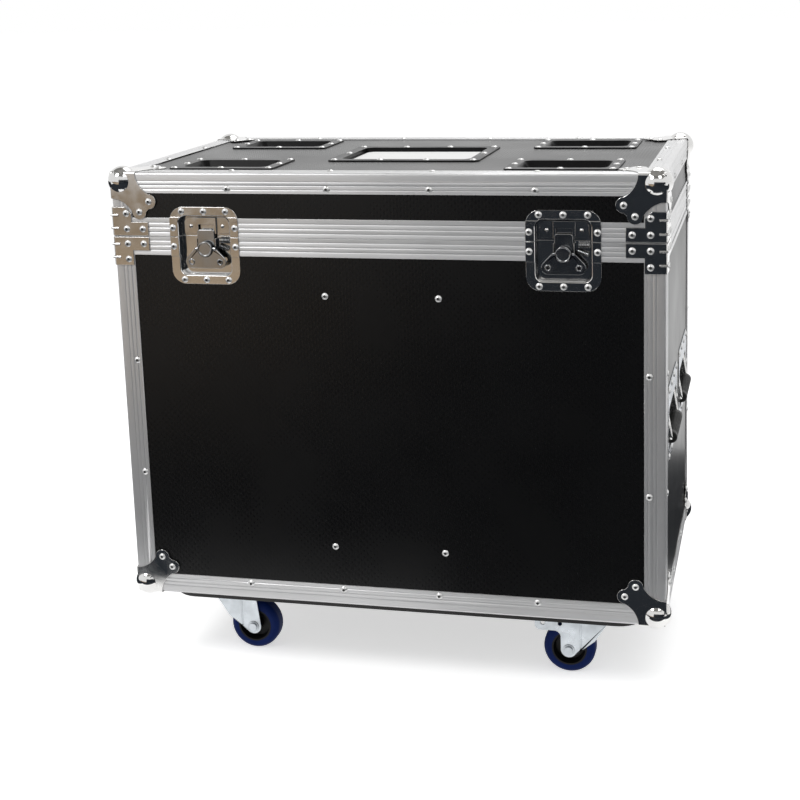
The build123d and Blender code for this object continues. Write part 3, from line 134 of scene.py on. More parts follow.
class CaseStudio(bpy.types.PropertyGroup):
    """Camera and light."""

    camera_place: FloatVectorProperty(name="Camera Place", description="Where the camera stands",
                                      subtype="TRANSLATION", unit="LENGTH", default=(0.548, -2.1846, 1.0252))
    camera_turn: FloatVectorProperty(name="Camera Turn", description="How the camera is turned",
                                     subtype="EULER", default=(1.37610, 0.026536, 0.223523))
    lens: FloatProperty(name="Lens", description="Focal length in millimetres", default=66.57)
    shift_across: FloatProperty(name="Shift Across", description="Sideways lens shift", default=-0.0557)
    shift_up: FloatProperty(name="Shift Up", description="Upward lens shift", default=-0.1627)
    left_power: FloatProperty(name="Left Lamp", description="Power of the lamp at the front left",
                              default=33.0, unit="POWER")
    right_power: FloatProperty(name="Right Lamp", description="Power of the lamp at the front right",
                               default=11.0, unit="POWER")
    back_power: FloatProperty(name="Back Lamp", description="Power of the lamp over the back", default=22.0,
                              unit="POWER")
    sky_strength: FloatProperty(name="Sky", description="Light that the pale room throws back",
                                default=0.5)
    floor_glow: FloatProperty(name="Floor White", description="White added to what is seen of the floor",
                              default=0.56)
    # Cards seen only in reflections: they paint a warm reflection into the left fittings, a grey one into the
    # balls and a dark one into the rest
    warm_reflection_card: FloatVectorProperty(name="Warm Card", description="Card that the left fittings mirror",
                                   subtype="COLOR", default=(0.60, 0.465, 0.33))
    grey_reflection_card: FloatVectorProperty(name="Grey Card", description="Ceiling that the balls mirror",
                                   subtype="COLOR", default=(0.42, 0.41, 0.39))
    dark_reflection_card: FloatVectorProperty(name="Dark Card", description="Cards that the other fittings mirror",
                                   subtype="COLOR", default=(0.032, 0.037, 0.045))


# Shader node groups
def new_group(name, inputs, outputs):
    """A shader group with named float inputs and outputs; inputs maps a name to its default."""
    tree = bpy.data.node_groups.new(name, "ShaderNodeTree")
    for label, default in inputs.items():
        socket = tree.interface.new_socket(label, in_out="INPUT", socket_type="NodeSocketFloat")
        socket.default_value = default
    for label, kind in outputs.items():
        tree.interface.new_socket(label, in_out="OUTPUT", socket_type=kind)
    return tree, tree.nodes.new("NodeGroupInput"), tree.nodes.new("NodeGroupOutput")


def object_place(tree):
    """A point's place in the coordinates of its piece."""
    return tree.nodes.new("ShaderNodeTexCoord").outputs["Object"]


soft_detail = 3.0
grain_detail = 5.0
dust_detail = 6.0


def noise_at(tree, place, scale, detail):
    """A noise texture's value at a place; place and scale are sockets."""
    noise = tree.nodes.new("ShaderNodeTexNoise")
    noise.inputs["Detail"].default_value = detail
    tree.links.new(place, noise.inputs["Vector"])
    tree.links.new(scale, noise.inputs["Scale"])
    return noise.outputs["Fac"]


def window(tree, value, start, stop):
    """A node whose result goes from 0 to 1 while a value goes from start to stop."""
    node = tree.nodes.new("ShaderNodeMapRange")
    node.inputs["From Min"].default_value = start
    node.inputs["From Max"].default_value = stop
    tree.links.new(value, node.inputs["Value"])
    return node


def spread(tree, noise, low, high):
    """Spread a noise between two sockets; most of its values lie from 0.3 to 0.7."""
    node = window(tree, noise, 0.3, 0.7)
    tree.links.new(low, node.inputs["To Min"])
    tree.links.new(high, node.inputs["To Max"])
    return node.outputs["Result"]


def product(tree, first, *others):
    """Values multiplied with each other."""
    value = first
    for other in others:
        node = tree.nodes.new("ShaderNodeMath")
        node.operation = "MULTIPLY"
        tree.links.new(value, node.inputs[0])
        tree.links.new(other, node.inputs[1])
        value = node.outputs["Value"]
    return value


def mottle_group():
    """Uneven sheen: a soft noise spread between two values."""
    tree, source, out = new_group("Sheen Mottle", {"Scale": 30.0, "Low": 0.3, "High": 0.4},
                                  {"Value": "NodeSocketFloat"})
    noise = noise_at(tree, object_place(tree), source.outputs["Scale"], soft_detail)
    value = spread(tree, noise, source.outputs["Low"], source.outputs["High"])
    tree.links.new(value, out.inputs["Value"])
    return tree


def grain_group():
    """Fine grain as a height."""
    tree, source, out = new_group("Fine Grain", {"Scale": 900.0}, {"Height": "NodeSocketFloat"})
    noise = noise_at(tree, object_place(tree), source.outputs["Scale"], grain_detail)
    tree.links.new(noise, out.inputs["Height"])
    return tree


def wear_group():
    """Rubbed edges: where a rounded normal leaves the true one, broken up by noise."""
    tree, source, out = new_group("Rubbed Edges", {"Radius": 0.0012, "Scale": 160.0, "Amount": 0.6},
                                  {"Mask": "NodeSocketFloat", "Normal": "NodeSocketVector"})
    rounded = tree.nodes.new("ShaderNodeBevel")
    rounded.samples = 4
    tree.links.new(source.outputs["Radius"], rounded.inputs["Radius"])
    true_normal = tree.nodes.new("ShaderNodeNewGeometry")
    facing = tree.nodes.new("ShaderNodeVectorMath")
    facing.operation = "DOT_PRODUCT"
    tree.links.new(rounded.outputs["Normal"], facing.inputs[0])
    tree.links.new(true_normal.outputs["Normal"], facing.inputs[1])
    edge = window(tree, facing.outputs["Value"], 0.99, 0.80).outputs["Result"]
    noise = noise_at(tree, object_place(tree), source.outputs["Scale"], soft_detail)
    broken = window(tree, noise, 0.42, 0.62).outputs["Result"]
    tree.links.new(product(tree, edge, broken, source.outputs["Amount"]), out.inputs["Mask"])
    tree.links.new(rounded.outputs["Normal"], out.inputs["Normal"])
    return tree


def dust_group():
    """Dust on what faces up, in soft patches."""
    tree, source, out = new_group("Settled Dust", {"Scale": 14.0, "Amount": 0.3}, {"Mask": "NodeSocketFloat"})
    shape = tree.nodes.new("ShaderNodeNewGeometry")
    split = tree.nodes.new("ShaderNodeSeparateXYZ")
    tree.links.new(shape.outputs["Normal"], split.inputs["Vector"])
    up = window(tree, split.outputs["Z"], 0.6, 1.0).outputs["Result"]
    noise = noise_at(tree, object_place(tree), source.outputs["Scale"], dust_detail)
    patches = window(tree, noise, 0.35, 0.75).outputs["Result"]
    tree.links.new(product(tree, up, patches, source.outputs["Amount"]), out.inputs["Mask"])
    return tree


def film_group():
    """Pressed mesh of the panel film: straight and slanting fine lines, as a height."""
    tree, source, out = new_group("Film Mesh", {"Pitch": 0.0048}, {"Height": "NodeSocketFloat"})
    place = object_place(tree)
    scale = tree.nodes.new("ShaderNodeMath")
    scale.operation = "DIVIDE"
    pitch_at_scale_1 = math.tau / 20
    scale.inputs[0].default_value = pitch_at_scale_1
    tree.links.new(source.outputs["Pitch"], scale.inputs[1])
    most = tree.nodes.new("ShaderNodeMath")
    most.operation = "MAXIMUM"
    for index, direction in enumerate(("X", "DIAGONAL")):
        wave = tree.nodes.new("ShaderNodeTexWave")
        wave.bands_direction = direction
        tree.links.new(place, wave.inputs["Vector"])
        tree.links.new(scale.outputs["Value"], wave.inputs["Scale"])
        tree.links.new(wave.outputs["Fac"], most.inputs[index])
    tree.links.new(most.outputs["Value"], out.inputs["Height"])
    return tree


def streak_group():
    """Drawn streaks: noise stretched along the grain that a piece's faces carry."""
    tree, source, out = new_group("Drawn Streaks", {"Scale": 900.0, "Low": 0.3, "High": 0.5},
                                  {"Value": "NodeSocketFloat", "Height": "NodeSocketFloat"})
    place = object_place(tree)
    grain = tree.nodes.new("ShaderNodeAttribute")
    grain.attribute_name = "grain"
    along = tree.nodes.new("ShaderNodeVectorMath")
    along.operation = "PROJECT"
    tree.links.new(place, along.inputs[0])
    tree.links.new(grain.outputs["Vector"], along.inputs[1])
    pull = tree.nodes.new("ShaderNodeVectorMath")
    pull.operation = "SCALE"
    share_taken_out = 0.985
    pull.inputs["Scale"].default_value = share_taken_out
    tree.links.new(along.outputs["Vector"], pull.inputs[0])
    across = tree.nodes.new("ShaderNodeVectorMath")
    across.operation = "SUBTRACT"
    tree.links.new(place, across.inputs[0])
    tree.links.new(pull.outputs["Vector"], across.inputs[1])
    noise = noise_at(tree, across.outputs["Vector"], source.outputs["Scale"], soft_detail)
    value = spread(tree, noise, source.outputs["Low"], source.outputs["High"])
    tree.links.new(value, out.inputs["Value"])
    tree.links.new(noise, out.inputs["Height"])
    return tree


def painted_shade_group():
    """Painted crevice shade: a mask that is high where near surroundings close a point in, so that crevices
    are painted dark as shade.
    """
    tree, source, out = new_group("Painted Crevice Shade", {"Reach": 0.004, "Amount": 0.8}, {"Mask": "NodeSocketFloat"})
    around = tree.nodes.new("ShaderNodeAmbientOcclusion")
    around.samples = 8
    tree.links.new(source.outputs["Reach"], around.inputs["Distance"])
    # Painted shade: the less open a point is, the darker its colour is painted
    painted_shade_mask = window(tree, around.outputs["AO"], 0.85, 0.25).outputs["Result"]
    tree.links.new(product(tree, painted_shade_mask, source.outputs["Amount"]), out.inputs["Mask"])
    return tree


group_makers = {"mottle": mottle_group, "grain": grain_group, "wear": wear_group, "dust": dust_group,
                "film": film_group, "streak": streak_group, "painted_shade": painted_shade_group}
groups = {}


def group(name):
    """The shader group of that name, built on first use."""
    if name not in groups:
        groups[name] = group_makers[name]()
    return groups[name]


# Materials
class Finish:
    """A material with one Principled shader, and the groups that feed it."""

    def __init__(self, name, colour, metallic):
        self.material = bpy.data.materials.new(name)
        self.material.use_nodes = True
        self.tree = self.material.node_tree
        self.shader = self.tree.nodes["Principled BSDF"]
        self.colour = colour
        self.fixed("Base Color", (*colour, 1)).fixed("Metallic", metallic)

    def fixed(self, socket, value):
        """Give a socket of the shader a constant."""
        self.shader.inputs[socket].default_value = value
        return self

    def use(self, name, **values):
        """Place a group with its own values."""
        node = self.tree.nodes.new("ShaderNodeGroup")
        node.node_tree = group(name)
        for label, value in values.items():
            node.inputs[label].default_value = value
        return node

    def gloss(self, low, high, scale):
        """Uneven roughness between two values."""
        node = self.use("mottle", Scale=scale, Low=low, High=high)
        self.tree.links.new(node.outputs["Value"], self.shader.inputs["Roughness"])
        return self

    def tint(self, mask, colour):
        """Mix a colour over what the base already has, by a mask."""
        mix = self.tree.nodes.new("ShaderNodeMix")
        mix.data_type = "RGBA"
        base = self.shader.inputs["Base Color"]
        if base.is_linked:
            self.tree.links.new(base.links[0].from_socket, mix.inputs["A"])
        else:
            mix.inputs["A"].default_value = base.default_value
        mix.inputs["B"].default_value = (*colour, 1)
        self.tree.links.new(mask, mix.inputs["Factor"])
        self.tree.links.new(mix.outputs["Result"], base)
        return self

    def cloudy(self, share, scale):
        """Patches in which the colour is lighter or darker by a share."""
        node = self.use("mottle", Scale=scale, Low=0.0, High=1.0)
        patch = [value * share for value in self.colour]
        return self.tint(node.outputs["Value"], patch)

    def rubbed(self, colour, radius, amount):
        """Wear along the edges."""
        node = self.use("wear", Radius=radius, Amount=amount)
        return self.tint(node.outputs["Mask"], colour)

    def dusty(self, amount):
        """Grey dust on the faces that look up."""
        node = self.use("dust", Amount=amount)
        return self.tint(node.outputs["Mask"], (0.35, 0.34, 0.32))

    def paint_shade(self, reach, amount, colour=(0.004, 0.004, 0.004)):
        """Paint shade into the crevices: darken the colour where near surroundings close a point in."""
        node = self.use("painted_shade", Reach=reach, Amount=amount)
        return self.tint(node.outputs["Mask"], colour)

    def drawn(self, low, high, scale, depth):
        """Streaks along the grain, with highlights that stretch across it."""
        node = self.use("streak", Scale=scale, Low=low, High=high)
        self.tree.links.new(node.outputs["Value"], self.shader.inputs["Roughness"])
        self.fixed("Anisotropic", 0.7)
        grain = self.tree.nodes.new("ShaderNodeAttribute")
        grain.attribute_name = "grain"
        shape = self.tree.nodes.new("ShaderNodeNewGeometry")
        across = self.tree.nodes.new("ShaderNodeVectorMath")
        across.operation = "CROSS_PRODUCT"
        self.tree.links.new(shape.outputs["Normal"], across.inputs[0])
        self.tree.links.new(grain.outputs["Vector"], across.inputs[1])
        self.tree.links.new(across.outputs["Vector"], self.shader.inputs["Tangent"])
        return self.bumped(node.outputs["Height"], depth, 0.5)

    def bumped(self, height, distance, strength):
        """Feed a height to the normal, on top of what the normal already has."""
        bump = self.tree.nodes.new("ShaderNodeBump")
        bump.inputs["Distance"].default_value = distance
        bump.inputs["Strength"].default_value = strength
        self.tree.links.new(height, bump.inputs["Height"])
        normal = self.shader.inputs["Normal"]
        if normal.is_linked:
            self.tree.links.new(normal.links[0].from_socket, bump.inputs["Normal"])
        self.tree.links.new(bump.outputs["Normal"], normal)
        return self

    def grained(self, scale, distance, strength):
        """Fine grain in the surface."""
        node = self.use("grain", Scale=scale)
        return self.bumped(node.outputs["Height"], distance, strength)

    def rounded(self, radius):
        """Soften the sharp edges of a frame node in its shading."""
        node = self.use("wear", Radius=radius)
        self.tree.links.new(node.outputs["Normal"], self.shader.inputs["Normal"])
        return self


def film_finish(colours):
    """Black film of the plywood, whose pressed mesh is also a little rougher."""
    finish = Finish("panel_film", colours.film, 0.0).fixed("Specular IOR Level", 0.34)
    finish.gloss(0.22, 0.29, 8.0).cloudy(1.5, 5.0)
    mesh = finish.use("film")
    ribs = finish.tree.nodes.new("ShaderNodeMath")
    ribs.operation = "MULTIPLY_ADD"
    rougher_on_mesh = 0.07
    ribs.inputs[1].default_value = rougher_on_mesh
    finish.tree.links.new(mesh.outputs["Height"], ribs.inputs[0])
    roughness = finish.shader.inputs["Roughness"]
    finish.tree.links.new(roughness.links[0].from_socket, ribs.inputs[2])
    finish.tree.links.new(ribs.outputs["Value"], roughness)
    return finish.bumped(mesh.outputs["Height"], 0.0001, 0.5).grained(1400.0, 0.00003, 0.4)


def bar_finish(colours):
    """Anodised aluminium with drawn streaks, and shade painted dark into its grooves and joints."""
    finish = Finish("anodised_bar", colours.bar, 0.7)
    finish.cloudy(0.92, 9.0).paint_shade(0.0022, 0.32, (0.08, 0.08, 0.08))
    return finish.drawn(0.34, 0.46, 1500.0, 0.00003)


def channel_finish(colours):
    """Anodised aluminium of the divider channels."""
    finish = Finish("anodised_channel", colours.bar, 0.55)
    finish.rounded(0.0005).gloss(0.36, 0.46, 18.0).cloudy(0.9, 9.0)
    return finish.grained(1800.0, 0.00003, 0.4)


def chrome_finish(colours):
    """Bright plate of corners, braces, latches, hinges and bails, with shade painted dark into its crevices.
    """
    finish = Finish("bright_plate", colours.chrome, 1.0)
    finish.gloss(0.06, 0.15, 60.0).cloudy(0.9, 25.0).paint_shade(0.006, 0.7)
    return finish.grained(220.0, 0.00002, 0.4)


def forged_finish(colours):
    """Darker plate of the latches' moving pieces and springs, with shade painted dark into its crevices."""
    finish = Finish("forged_plate", colours.forged, 1.0)
    finish.gloss(0.12, 0.22, 60.0).cloudy(0.85, 30.0).paint_shade(0.006, 0.7)
    return finish.grained(260.0, 0.00004, 0.5)


def handle_finish(colours):
    """Plate of the handle dishes, which turns blue grey at a low angle, with shade painted dark into its
    crevices.
    """
    finish = Finish("handle_plate", colours.chrome, 1.0)
    finish.fixed("Specular Tint", (0.55, 0.57, 0.60, 1))
    finish.gloss(0.15, 0.26, 50.0).cloudy(0.85, 25.0).paint_shade(0.012, 0.7)
    return finish.grained(260.0, 0.00004, 0.5)


def rivet_finish(colours):
    """Plated steel whose holes, and the ring where each head meets the sheet, are painted dark as shade."""
    finish = Finish("rivet_steel", colours.rivet, 0.75)
    finish.gloss(0.28, 0.42, 90.0).paint_shade(0.006, 1.0)
    return finish.grained(900.0, 0.00003, 0.5)


def coat_finish(colours):
    """Black powder coat, rubbed at the edges."""
    finish = Finish("dish_coat", colours.coat, 0.0).fixed("Specular IOR Level", 0.15)
    finish.gloss(0.27, 0.35, 20.0).rubbed((0.05, 0.05, 0.05), 0.001, 0.3)
    return finish.grained(700.0, 0.00006, 0.5)


def zinc_finish(colours):
    """Blue white zinc plate, with shade painted dark into its crevices, such as round the axle bolts."""
    finish = Finish("castor_zinc", colours.zinc, 1.0)
    finish.gloss(0.24, 0.44, 70.0).cloudy(0.8, 55.0).paint_shade(0.009, 0.9, (0.05, 0.055, 0.06))
    return finish.grained(500.0, 0.00006, 0.7)


def tyre_finish(colours):
    """Blue elastic rubber."""
    finish = Finish("elastic_tyre", colours.tyre, 0.0).fixed("Specular IOR Level", 0.14)
    return finish.gloss(0.5, 0.64, 30.0).cloudy(0.75, 20.0).grained(600.0, 0.00006, 0.6)


def moulding_finish(colours):
    """Black moulded plastic."""
    finish = Finish("moulded_black", colours.moulding, 0.0).fixed("Specular IOR Level", 0.2)
    return finish.gloss(0.36, 0.5, 30.0).grained(1100.0, 0.00004, 0.5)


def grip_finish(colours):
    """Black rubber with a little dust."""
    finish = Finish("grip_rubber", colours.moulding, 0.0)
    return finish.gloss(0.48, 0.62, 40.0).dusty(0.07).grained(800.0, 0.00006, 0.7)


def paint_finish(colours):
    """Uneven black paint."""
    finish = Finish("board_paint", colours.paint, 0.0)
    finish.rounded(0.0015).gloss(0.42, 0.58, 12.0).cloudy(1.5, 14.0)
    return finish.grained(350.0, 0.00012, 0.6)


def card_finish(colours):
    """White card."""
    finish = Finish("label_paper", colours.card, 0.0)
    return finish.gloss(0.7, 0.82, 25.0).cloudy(0.96, 6.0).grained(1500.0, 0.00003, 0.6)


def foam_finish(colours):
    """Dark open foam."""
    finish = Finish("pad_foam", colours.foam, 0.0).fixed("Sheen Weight", 0.15)
    return finish.gloss(0.9, 1.0, 40.0).cloudy(1.7, 18.0).grained(520.0, 0.0006, 0.9)


finish_makers = {"film": film_finish, "bar": bar_finish, "channel": channel_finish, "chrome": chrome_finish,
                 "forged": forged_finish, "handle": handle_finish, "rivet": rivet_finish,
                 "coat": coat_finish, "zinc": zinc_finish, "tyre": tyre_finish, "moulding": moulding_finish,
                 "grip": grip_finish, "paint": paint_finish, "card": card_finish, "foam": foam_finish}
finishes = {}


def finish_of(name):
    """The material of that name, built on first use."""
    if name not in finishes:
        finishes[name] = finish_makers[name](bpy.context.scene.case_finish).material
    return finishes[name]


# Making pieces
def coat_node(name, finish):
    """Give a frame node its finish."""
    node = nodes[name]
    for slot in node.material_slots:
        slot.material = finish_of(finish)


def new_object(name, bm, material):
    """Turn a bmesh into an object of the scene."""
    mesh = bpy.data.meshes.new(name)
    bm.to_mesh(mesh)
    bm.free()
    mesh.materials.append(material)
    item = bpy.data.objects.new(name, mesh)
    bpy.context.scene.collection.objects.link(item)
    return item


def add_piece(name, bm, body, finish):
    """Turn a bmesh into a piece that rides on a body."""
    bmesh.ops.recalc_face_normals(bm, faces=bm.faces[:])
    piece = new_object(name, bm, finish_of(finish))
    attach(piece, body)
    return piece


def smooth_piece(piece, sharp_angle=35.0):
    """Shade a piece smooth but for its sharp edges."""
    for polygon in piece.data.polygons:
        polygon.use_smooth = True
    piece.data.set_sharp_from_angle(angle=math.radians(sharp_angle))
    return piece


def corners(name):
    """The low and the high corner of a node's box."""
    return [Vector(corner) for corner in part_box(name)]


def grain_axis(point, low, high, closed):
    """The way a bar of a frame runs: the axis in which a point lies deepest inside the frame's box.

    closed says at which end of its uprights a frame has its bars: "below" or "above". It is "flat" for a
    frame without uprights.
    """
    depths = [min(point.x - low.x, high.x - point.x), min(point.y - low.y, high.y - point.y)]
    depths.append({"below": point.z - low.z, "above": high.z - point.z, "flat": 0}[closed])
    axis = Vector((0, 0, 0))
    axis[depths.index(max(depths))] = 1
    return axis


merge_distance = 0.00001
flat_angle = math.radians(0.6)
edge_angle = math.radians(40)
edge_segments = 2
face_weight = 100


def soften(node_name, body, finish, width, closed=None):
    """Replace a frame node by a copy with rounded edges; closed gives drawn stock its grain."""
    bm = bmesh.new()
    bm.from_mesh(nodes[node_name].data)
    for face in bm.faces:
        face.material_index = 0
    bmesh.ops.remove_doubles(bm, verts=bm.verts[:], dist=merge_distance)
    bmesh.ops.dissolve_limit(bm, angle_limit=flat_angle, verts=bm.verts[:], edges=bm.edges[:])
    if closed:
        low, high = corners(node_name)
        grain = bm.faces.layers.float_vector.new("grain")
        for face in bm.faces:
            face[grain] = grain_axis(face.calc_center_median(), low, high, closed)
    piece = new_object(node_name + "_rounded", bm, finish_of(finish))
    bevel = piece.modifiers.new("Edge Round", "BEVEL")
    bevel.width = width
    bevel.segments = edge_segments
    bevel.limit_method = "ANGLE"
    bevel.angle_limit = edge_angle
    bevel.use_clamp_overlap = False
    smooth_piece(piece, 60.0)
    even = piece.modifiers.new("Even Shading", "WEIGHTED_NORMAL")
    even.weight = face_weight
    even.keep_sharp = True
    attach(piece, body)
    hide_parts(node_name)


wire_sides = 8
steps_per_turn = 20


def coil(radius, wire, pitch, turns, start, axis):
    """A coil spring: one ring of wire spun round an axis while it climbs."""
    bm = bmesh.new()
    ring = bmesh.ops.create_circle(bm, segments=wire_sides, radius=wire)
    turn = Matrix.Rotation(math.radians(90), 4, "X")
    bmesh.ops.transform(bm, matrix=Matrix.Translation((radius, 0, 0)) @ turn, verts=ring["verts"])
    edges = bm.edges[:]
    spun = bmesh.ops.spin(bm, geom=bm.verts[:] + edges, axis=(0, 0, 1), cent=(0, 0, 0),
                          dvec=(0, 0, pitch / steps_per_turn), angle=math.tau * turns,
                          steps=steps_per_turn * turns)
    last = [item for item in spun["geom_last"] if isinstance(item, bmesh.types.BMEdge)]
    bmesh.ops.edgeloop_fill(bm, edges=edges)
    bmesh.ops.edgeloop_fill(bm, edges=last)
    aim = Vector((0, 0, 1)).rotation_difference(Vector(axis)).to_matrix().to_4x4()
    bmesh.ops.transform(bm, matrix=Matrix.Translation(start) @ aim, verts=bm.verts[:])
    return bm


def middle(name):
    """The middle of a node's box."""
    low, high = corners(name)
    return (low + high) / 2


def board_thickness():
    """How thick a divider board is."""
    points = [vertex.co.x for vertex in nodes["divider_boards"].data.vertices if vertex.co.x > 0]
    return max(points) - min(points)


cells_per_wave = 6


def foam_pad(low, high, wave_down):
    """A foam slab with rounded upright corners and an egg crate face, up or down."""
    trim = bpy.context.scene.case_trim
    size = high - low
    cells = [max(2, round(size[axis] / (trim.foam_pitch / cells_per_wave))) for axis in (0, 1)]
    bm = bmesh.new()
    bmesh.ops.create_grid(bm, x_segments=cells[0], y_segments=cells[1], size=0.5)
    bmesh.ops.scale(bm, vec=(size.x, size.y, 1), verts=bm.verts[:])
    waves = [max(1, round(size[axis] / trim.foam_pitch)) for axis in (0, 1)]
    for vert in bm.verts:
        across = math.cos(math.tau * waves[0] * (vert.co.x / size.x + 0.5))
        along = math.cos(math.tau * waves[1] * (vert.co.y / size.y + 0.5))
        vert.co.z = size.z - trim.foam_wave * (2 + across + along) / 4
    rim = [edge for edge in bm.edges if edge.is_boundary]
    skirt = bmesh.ops.extrude_edge_only(bm, edges=rim)["geom"]
    for vert in (item for item in skirt if isinstance(item, bmesh.types.BMVert)):
        vert.co.z = 0
    bmesh.ops.holes_fill(bm, edges=[edge for edge in bm.edges if edge.is_boundary])
    for vert in bm.verts:
        reach = [size[axis] / 2 - trim.foam_round for axis in (0, 1)]
        over = Vector((max(0, abs(vert.co.x) - reach[0]), max(0, abs(vert.co.y) - reach[1])))
        if over.x > 0 and over.y > 0:
            pull = min(1, trim.foam_round / over.length) * max(over.x, over.y) / trim.foam_round
            vert.co.x = math.copysign(reach[0] + over.x * pull, vert.co.x)
            vert.co.y = math.copysign(reach[1] + over.y * pull, vert.co.y)
    if wave_down:
        bmesh.ops.scale(bm, vec=(1, 1, -1), verts=bm.verts[:])
        bmesh.ops.translate(bm, vec=(0, 0, size.z), verts=bm.verts[:])
    centre = (low + high) / 2
    bmesh.ops.translate(bm, vec=(centre.x, centre.y, low.z), verts=bm.verts[:])
    return bm


# Operators, one for each group of like pieces
class CASE_OT_panels(bpy.types.Operator):
    """Coat the plywood panels and boards with black film"""

    bl_idname = "case.panels"
    bl_label = "Panels"

    def execute(self, context):
        for name in ("base_front_panel", "base_back_panel", "base_side_panels", "base_floor_panel",
                     "lid_top_panel", "lid_wall_panels", "divider_boards"):
            coat_node(name, "film")
        coat_node("castor_board", "paint")
        return {"FINISHED"}


class CASE_OT_bars(bpy.types.Operator):
    """Anodise the edge bars, rims and divider channels"""

    bl_idname = "case.bars"
    bl_label = "Edge Bars"

    def execute(self, context):
        width = context.scene.case_trim.bar_round
        soften("base_edge_bars", "case", "bar", width, "below")
        soften("base_rim", "case", "bar", width, "flat")
        soften("lid_edge_bars", "lid", "bar", width, "above")
        soften("lid_rim", "lid", "bar", width, "flat")
        coat_node("divider_channels", "channel")
        return {"FINISHED"}


class CASE_OT_corners(bpy.types.Operator):
    """Round and plate the ball corners and braces"""

    bl_idname = "case.corners"
    bl_label = "Corners"

    def execute(self, context):
        width = context.scene.case_trim.sheet_round
        for part in ("ball_corners", "corner_braces"):
            soften(f"base_{part}", "case", "chrome", width)
            soften(f"lid_{part}", "lid", "chrome", width)
        return {"FINISHED"}


class CASE_OT_rivets(bpy.types.Operator):
    """Plate the rivets and bolts"""

    bl_idname = "case.rivets"
    bl_label = "Rivets"

    def execute(self, context):
        coat_node("base_rivets_and_bolts", "rivet")
        coat_node("lid_rivets", "rivet")
        return {"FINISHED"}


class CASE_OT_latches(bpy.types.Operator):
    """Round and plate the latches, and add their springs"""

    bl_idname = "case.latches"
    bl_label = "Latches"

    def execute(self, context):
        trim = context.scene.case_trim
        for base_part, lid_part in (("lower_dishes", "upper_dishes"), ("bases", "keepers")):
            soften(f"latch_{base_part}", "case", "chrome", trim.sheet_round)
            soften(f"latch_{lid_part}", "lid", "chrome", trim.sheet_round)
        for side in sides:
            for part in ("hub", "wing", "hook"):
                soften(f"latch_{part}_{side}", f"latch_{part}_{side}", "forged", trim.forged_round)
            self.add_springs(trim, side)
        return {"FINISHED"}

    def add_springs(self, trim, side):
        """Two springs in the lower pocket, right of the hook, one level and one slanting under it."""
        hub = middle(f"latch_hub_{side}")
        depth = corners("latch_lower_dishes")[1].y - trim.spring_radius - trim.spring_wire
        # Each spring's name, start right of and over the hub's middle, slant, and share of the radius
        springs = (("upper", 0.0195, 0.0112, 0.0, 1.0), ("lower", 0.0185, 0.0035, -0.35, 0.7))
        for name, across, rise, slant, share in springs:
            start = (hub.x + across, depth, hub.z + rise)
            bm = coil(trim.spring_radius * share, trim.spring_wire, trim.spring_pitch, trim.spring_turns,
                      start, (1, 0, slant))
            smooth_piece(add_piece(f"latch_spring_{side}_{name}", bm, "case", "forged"))


class CASE_OT_hinges(bpy.types.Operator):
    """Round and plate the hinge leaves"""

    bl_idname = "case.hinges"
    bl_label = "Hinges"

    def execute(self, context):
        width = context.scene.case_trim.sheet_round
        soften("hinge_lower_leaves", "case", "chrome", width)
        soften("hinge_upper_leaves", "lid", "chrome", width)
        return {"FINISHED"}


class CASE_OT_handles(bpy.types.Operator):
    """Plate the handle dishes and bails, and finish their grips"""

    bl_idname = "case.handles"
    bl_label = "Handles"

    def execute(self, context):
        width = context.scene.case_trim.sheet_round
        soften("handle_dishes", "case", "handle", width)
        for place in handle_places:
            coat_node(f"handle_bail_{place}", "chrome")
            coat_node(f"handle_grip_{place}", "grip")
        return {"FINISHED"}


class CASE_OT_castors(bpy.types.Operator):
    """Finish the castors"""

    bl_idname = "case.castors"
    bl_label = "Castors"

    def execute(self, context):
        width = context.scene.case_trim.sheet_round
        coat_node("castor_plates", "zinc")
        for place in castor_places:
            soften(f"castor_fork_{place}", f"fork_{place}", "zinc", width)
            coat_node(f"wheel_core_{place}", "moulding")
            coat_node(f"wheel_tyre_{place}", "tyre")
            if f"brake_pedal_{place}" in nodes:
                soften(f"brake_pedal_{place}", f"brake_{place}", "zinc", width)
        return {"FINISHED"}


class CASE_OT_lid_dishes(bpy.types.Operator):
    """Coat the dishes in the lid, and finish the card"""

    bl_idname = "case.lid_dishes"
    bl_label = "Lid Dishes"

    def execute(self, context):
        width = context.scene.case_trim.sheet_round
        soften("castor_dishes", "lid", "coat", width)
        soften("label_dish", "lid", "coat", width)
        coat_node("label_card", "card")
        return {"FINISHED"}


class CASE_OT_foam(bpy.types.Operator):
    """Lay egg crate foam on the floor and under the lid"""

    bl_idname = "case.foam"
    bl_label = "Foam"

    def execute(self, context):
        low, high = corners("floor_pads")
        board_right = corners("divider_boards")[1].x
        gap = 0.004
        inner = board_right - board_thickness() - gap
        outer = board_right + gap
        pads = {"left": (low.x, -outer), "middle": (-inner, inner), "right": (outer, high.x)}
        for place, (start, stop) in pads.items():
            bm = foam_pad(Vector((start, low.y, low.z)), Vector((stop, high.y, high.z)), False)
            pad = smooth_piece(add_piece(f"floor_foam_{place}", bm, "case", "foam"), 60.0)
            if place == "middle":
                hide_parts("floor_pads")
        bm = foam_pad(*corners("lid_pad"), True)
        pad = smooth_piece(add_piece("lid_foam", bm, "lid", "foam"), 60.0)
        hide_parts("lid_pad")
        return {"FINISHED"}


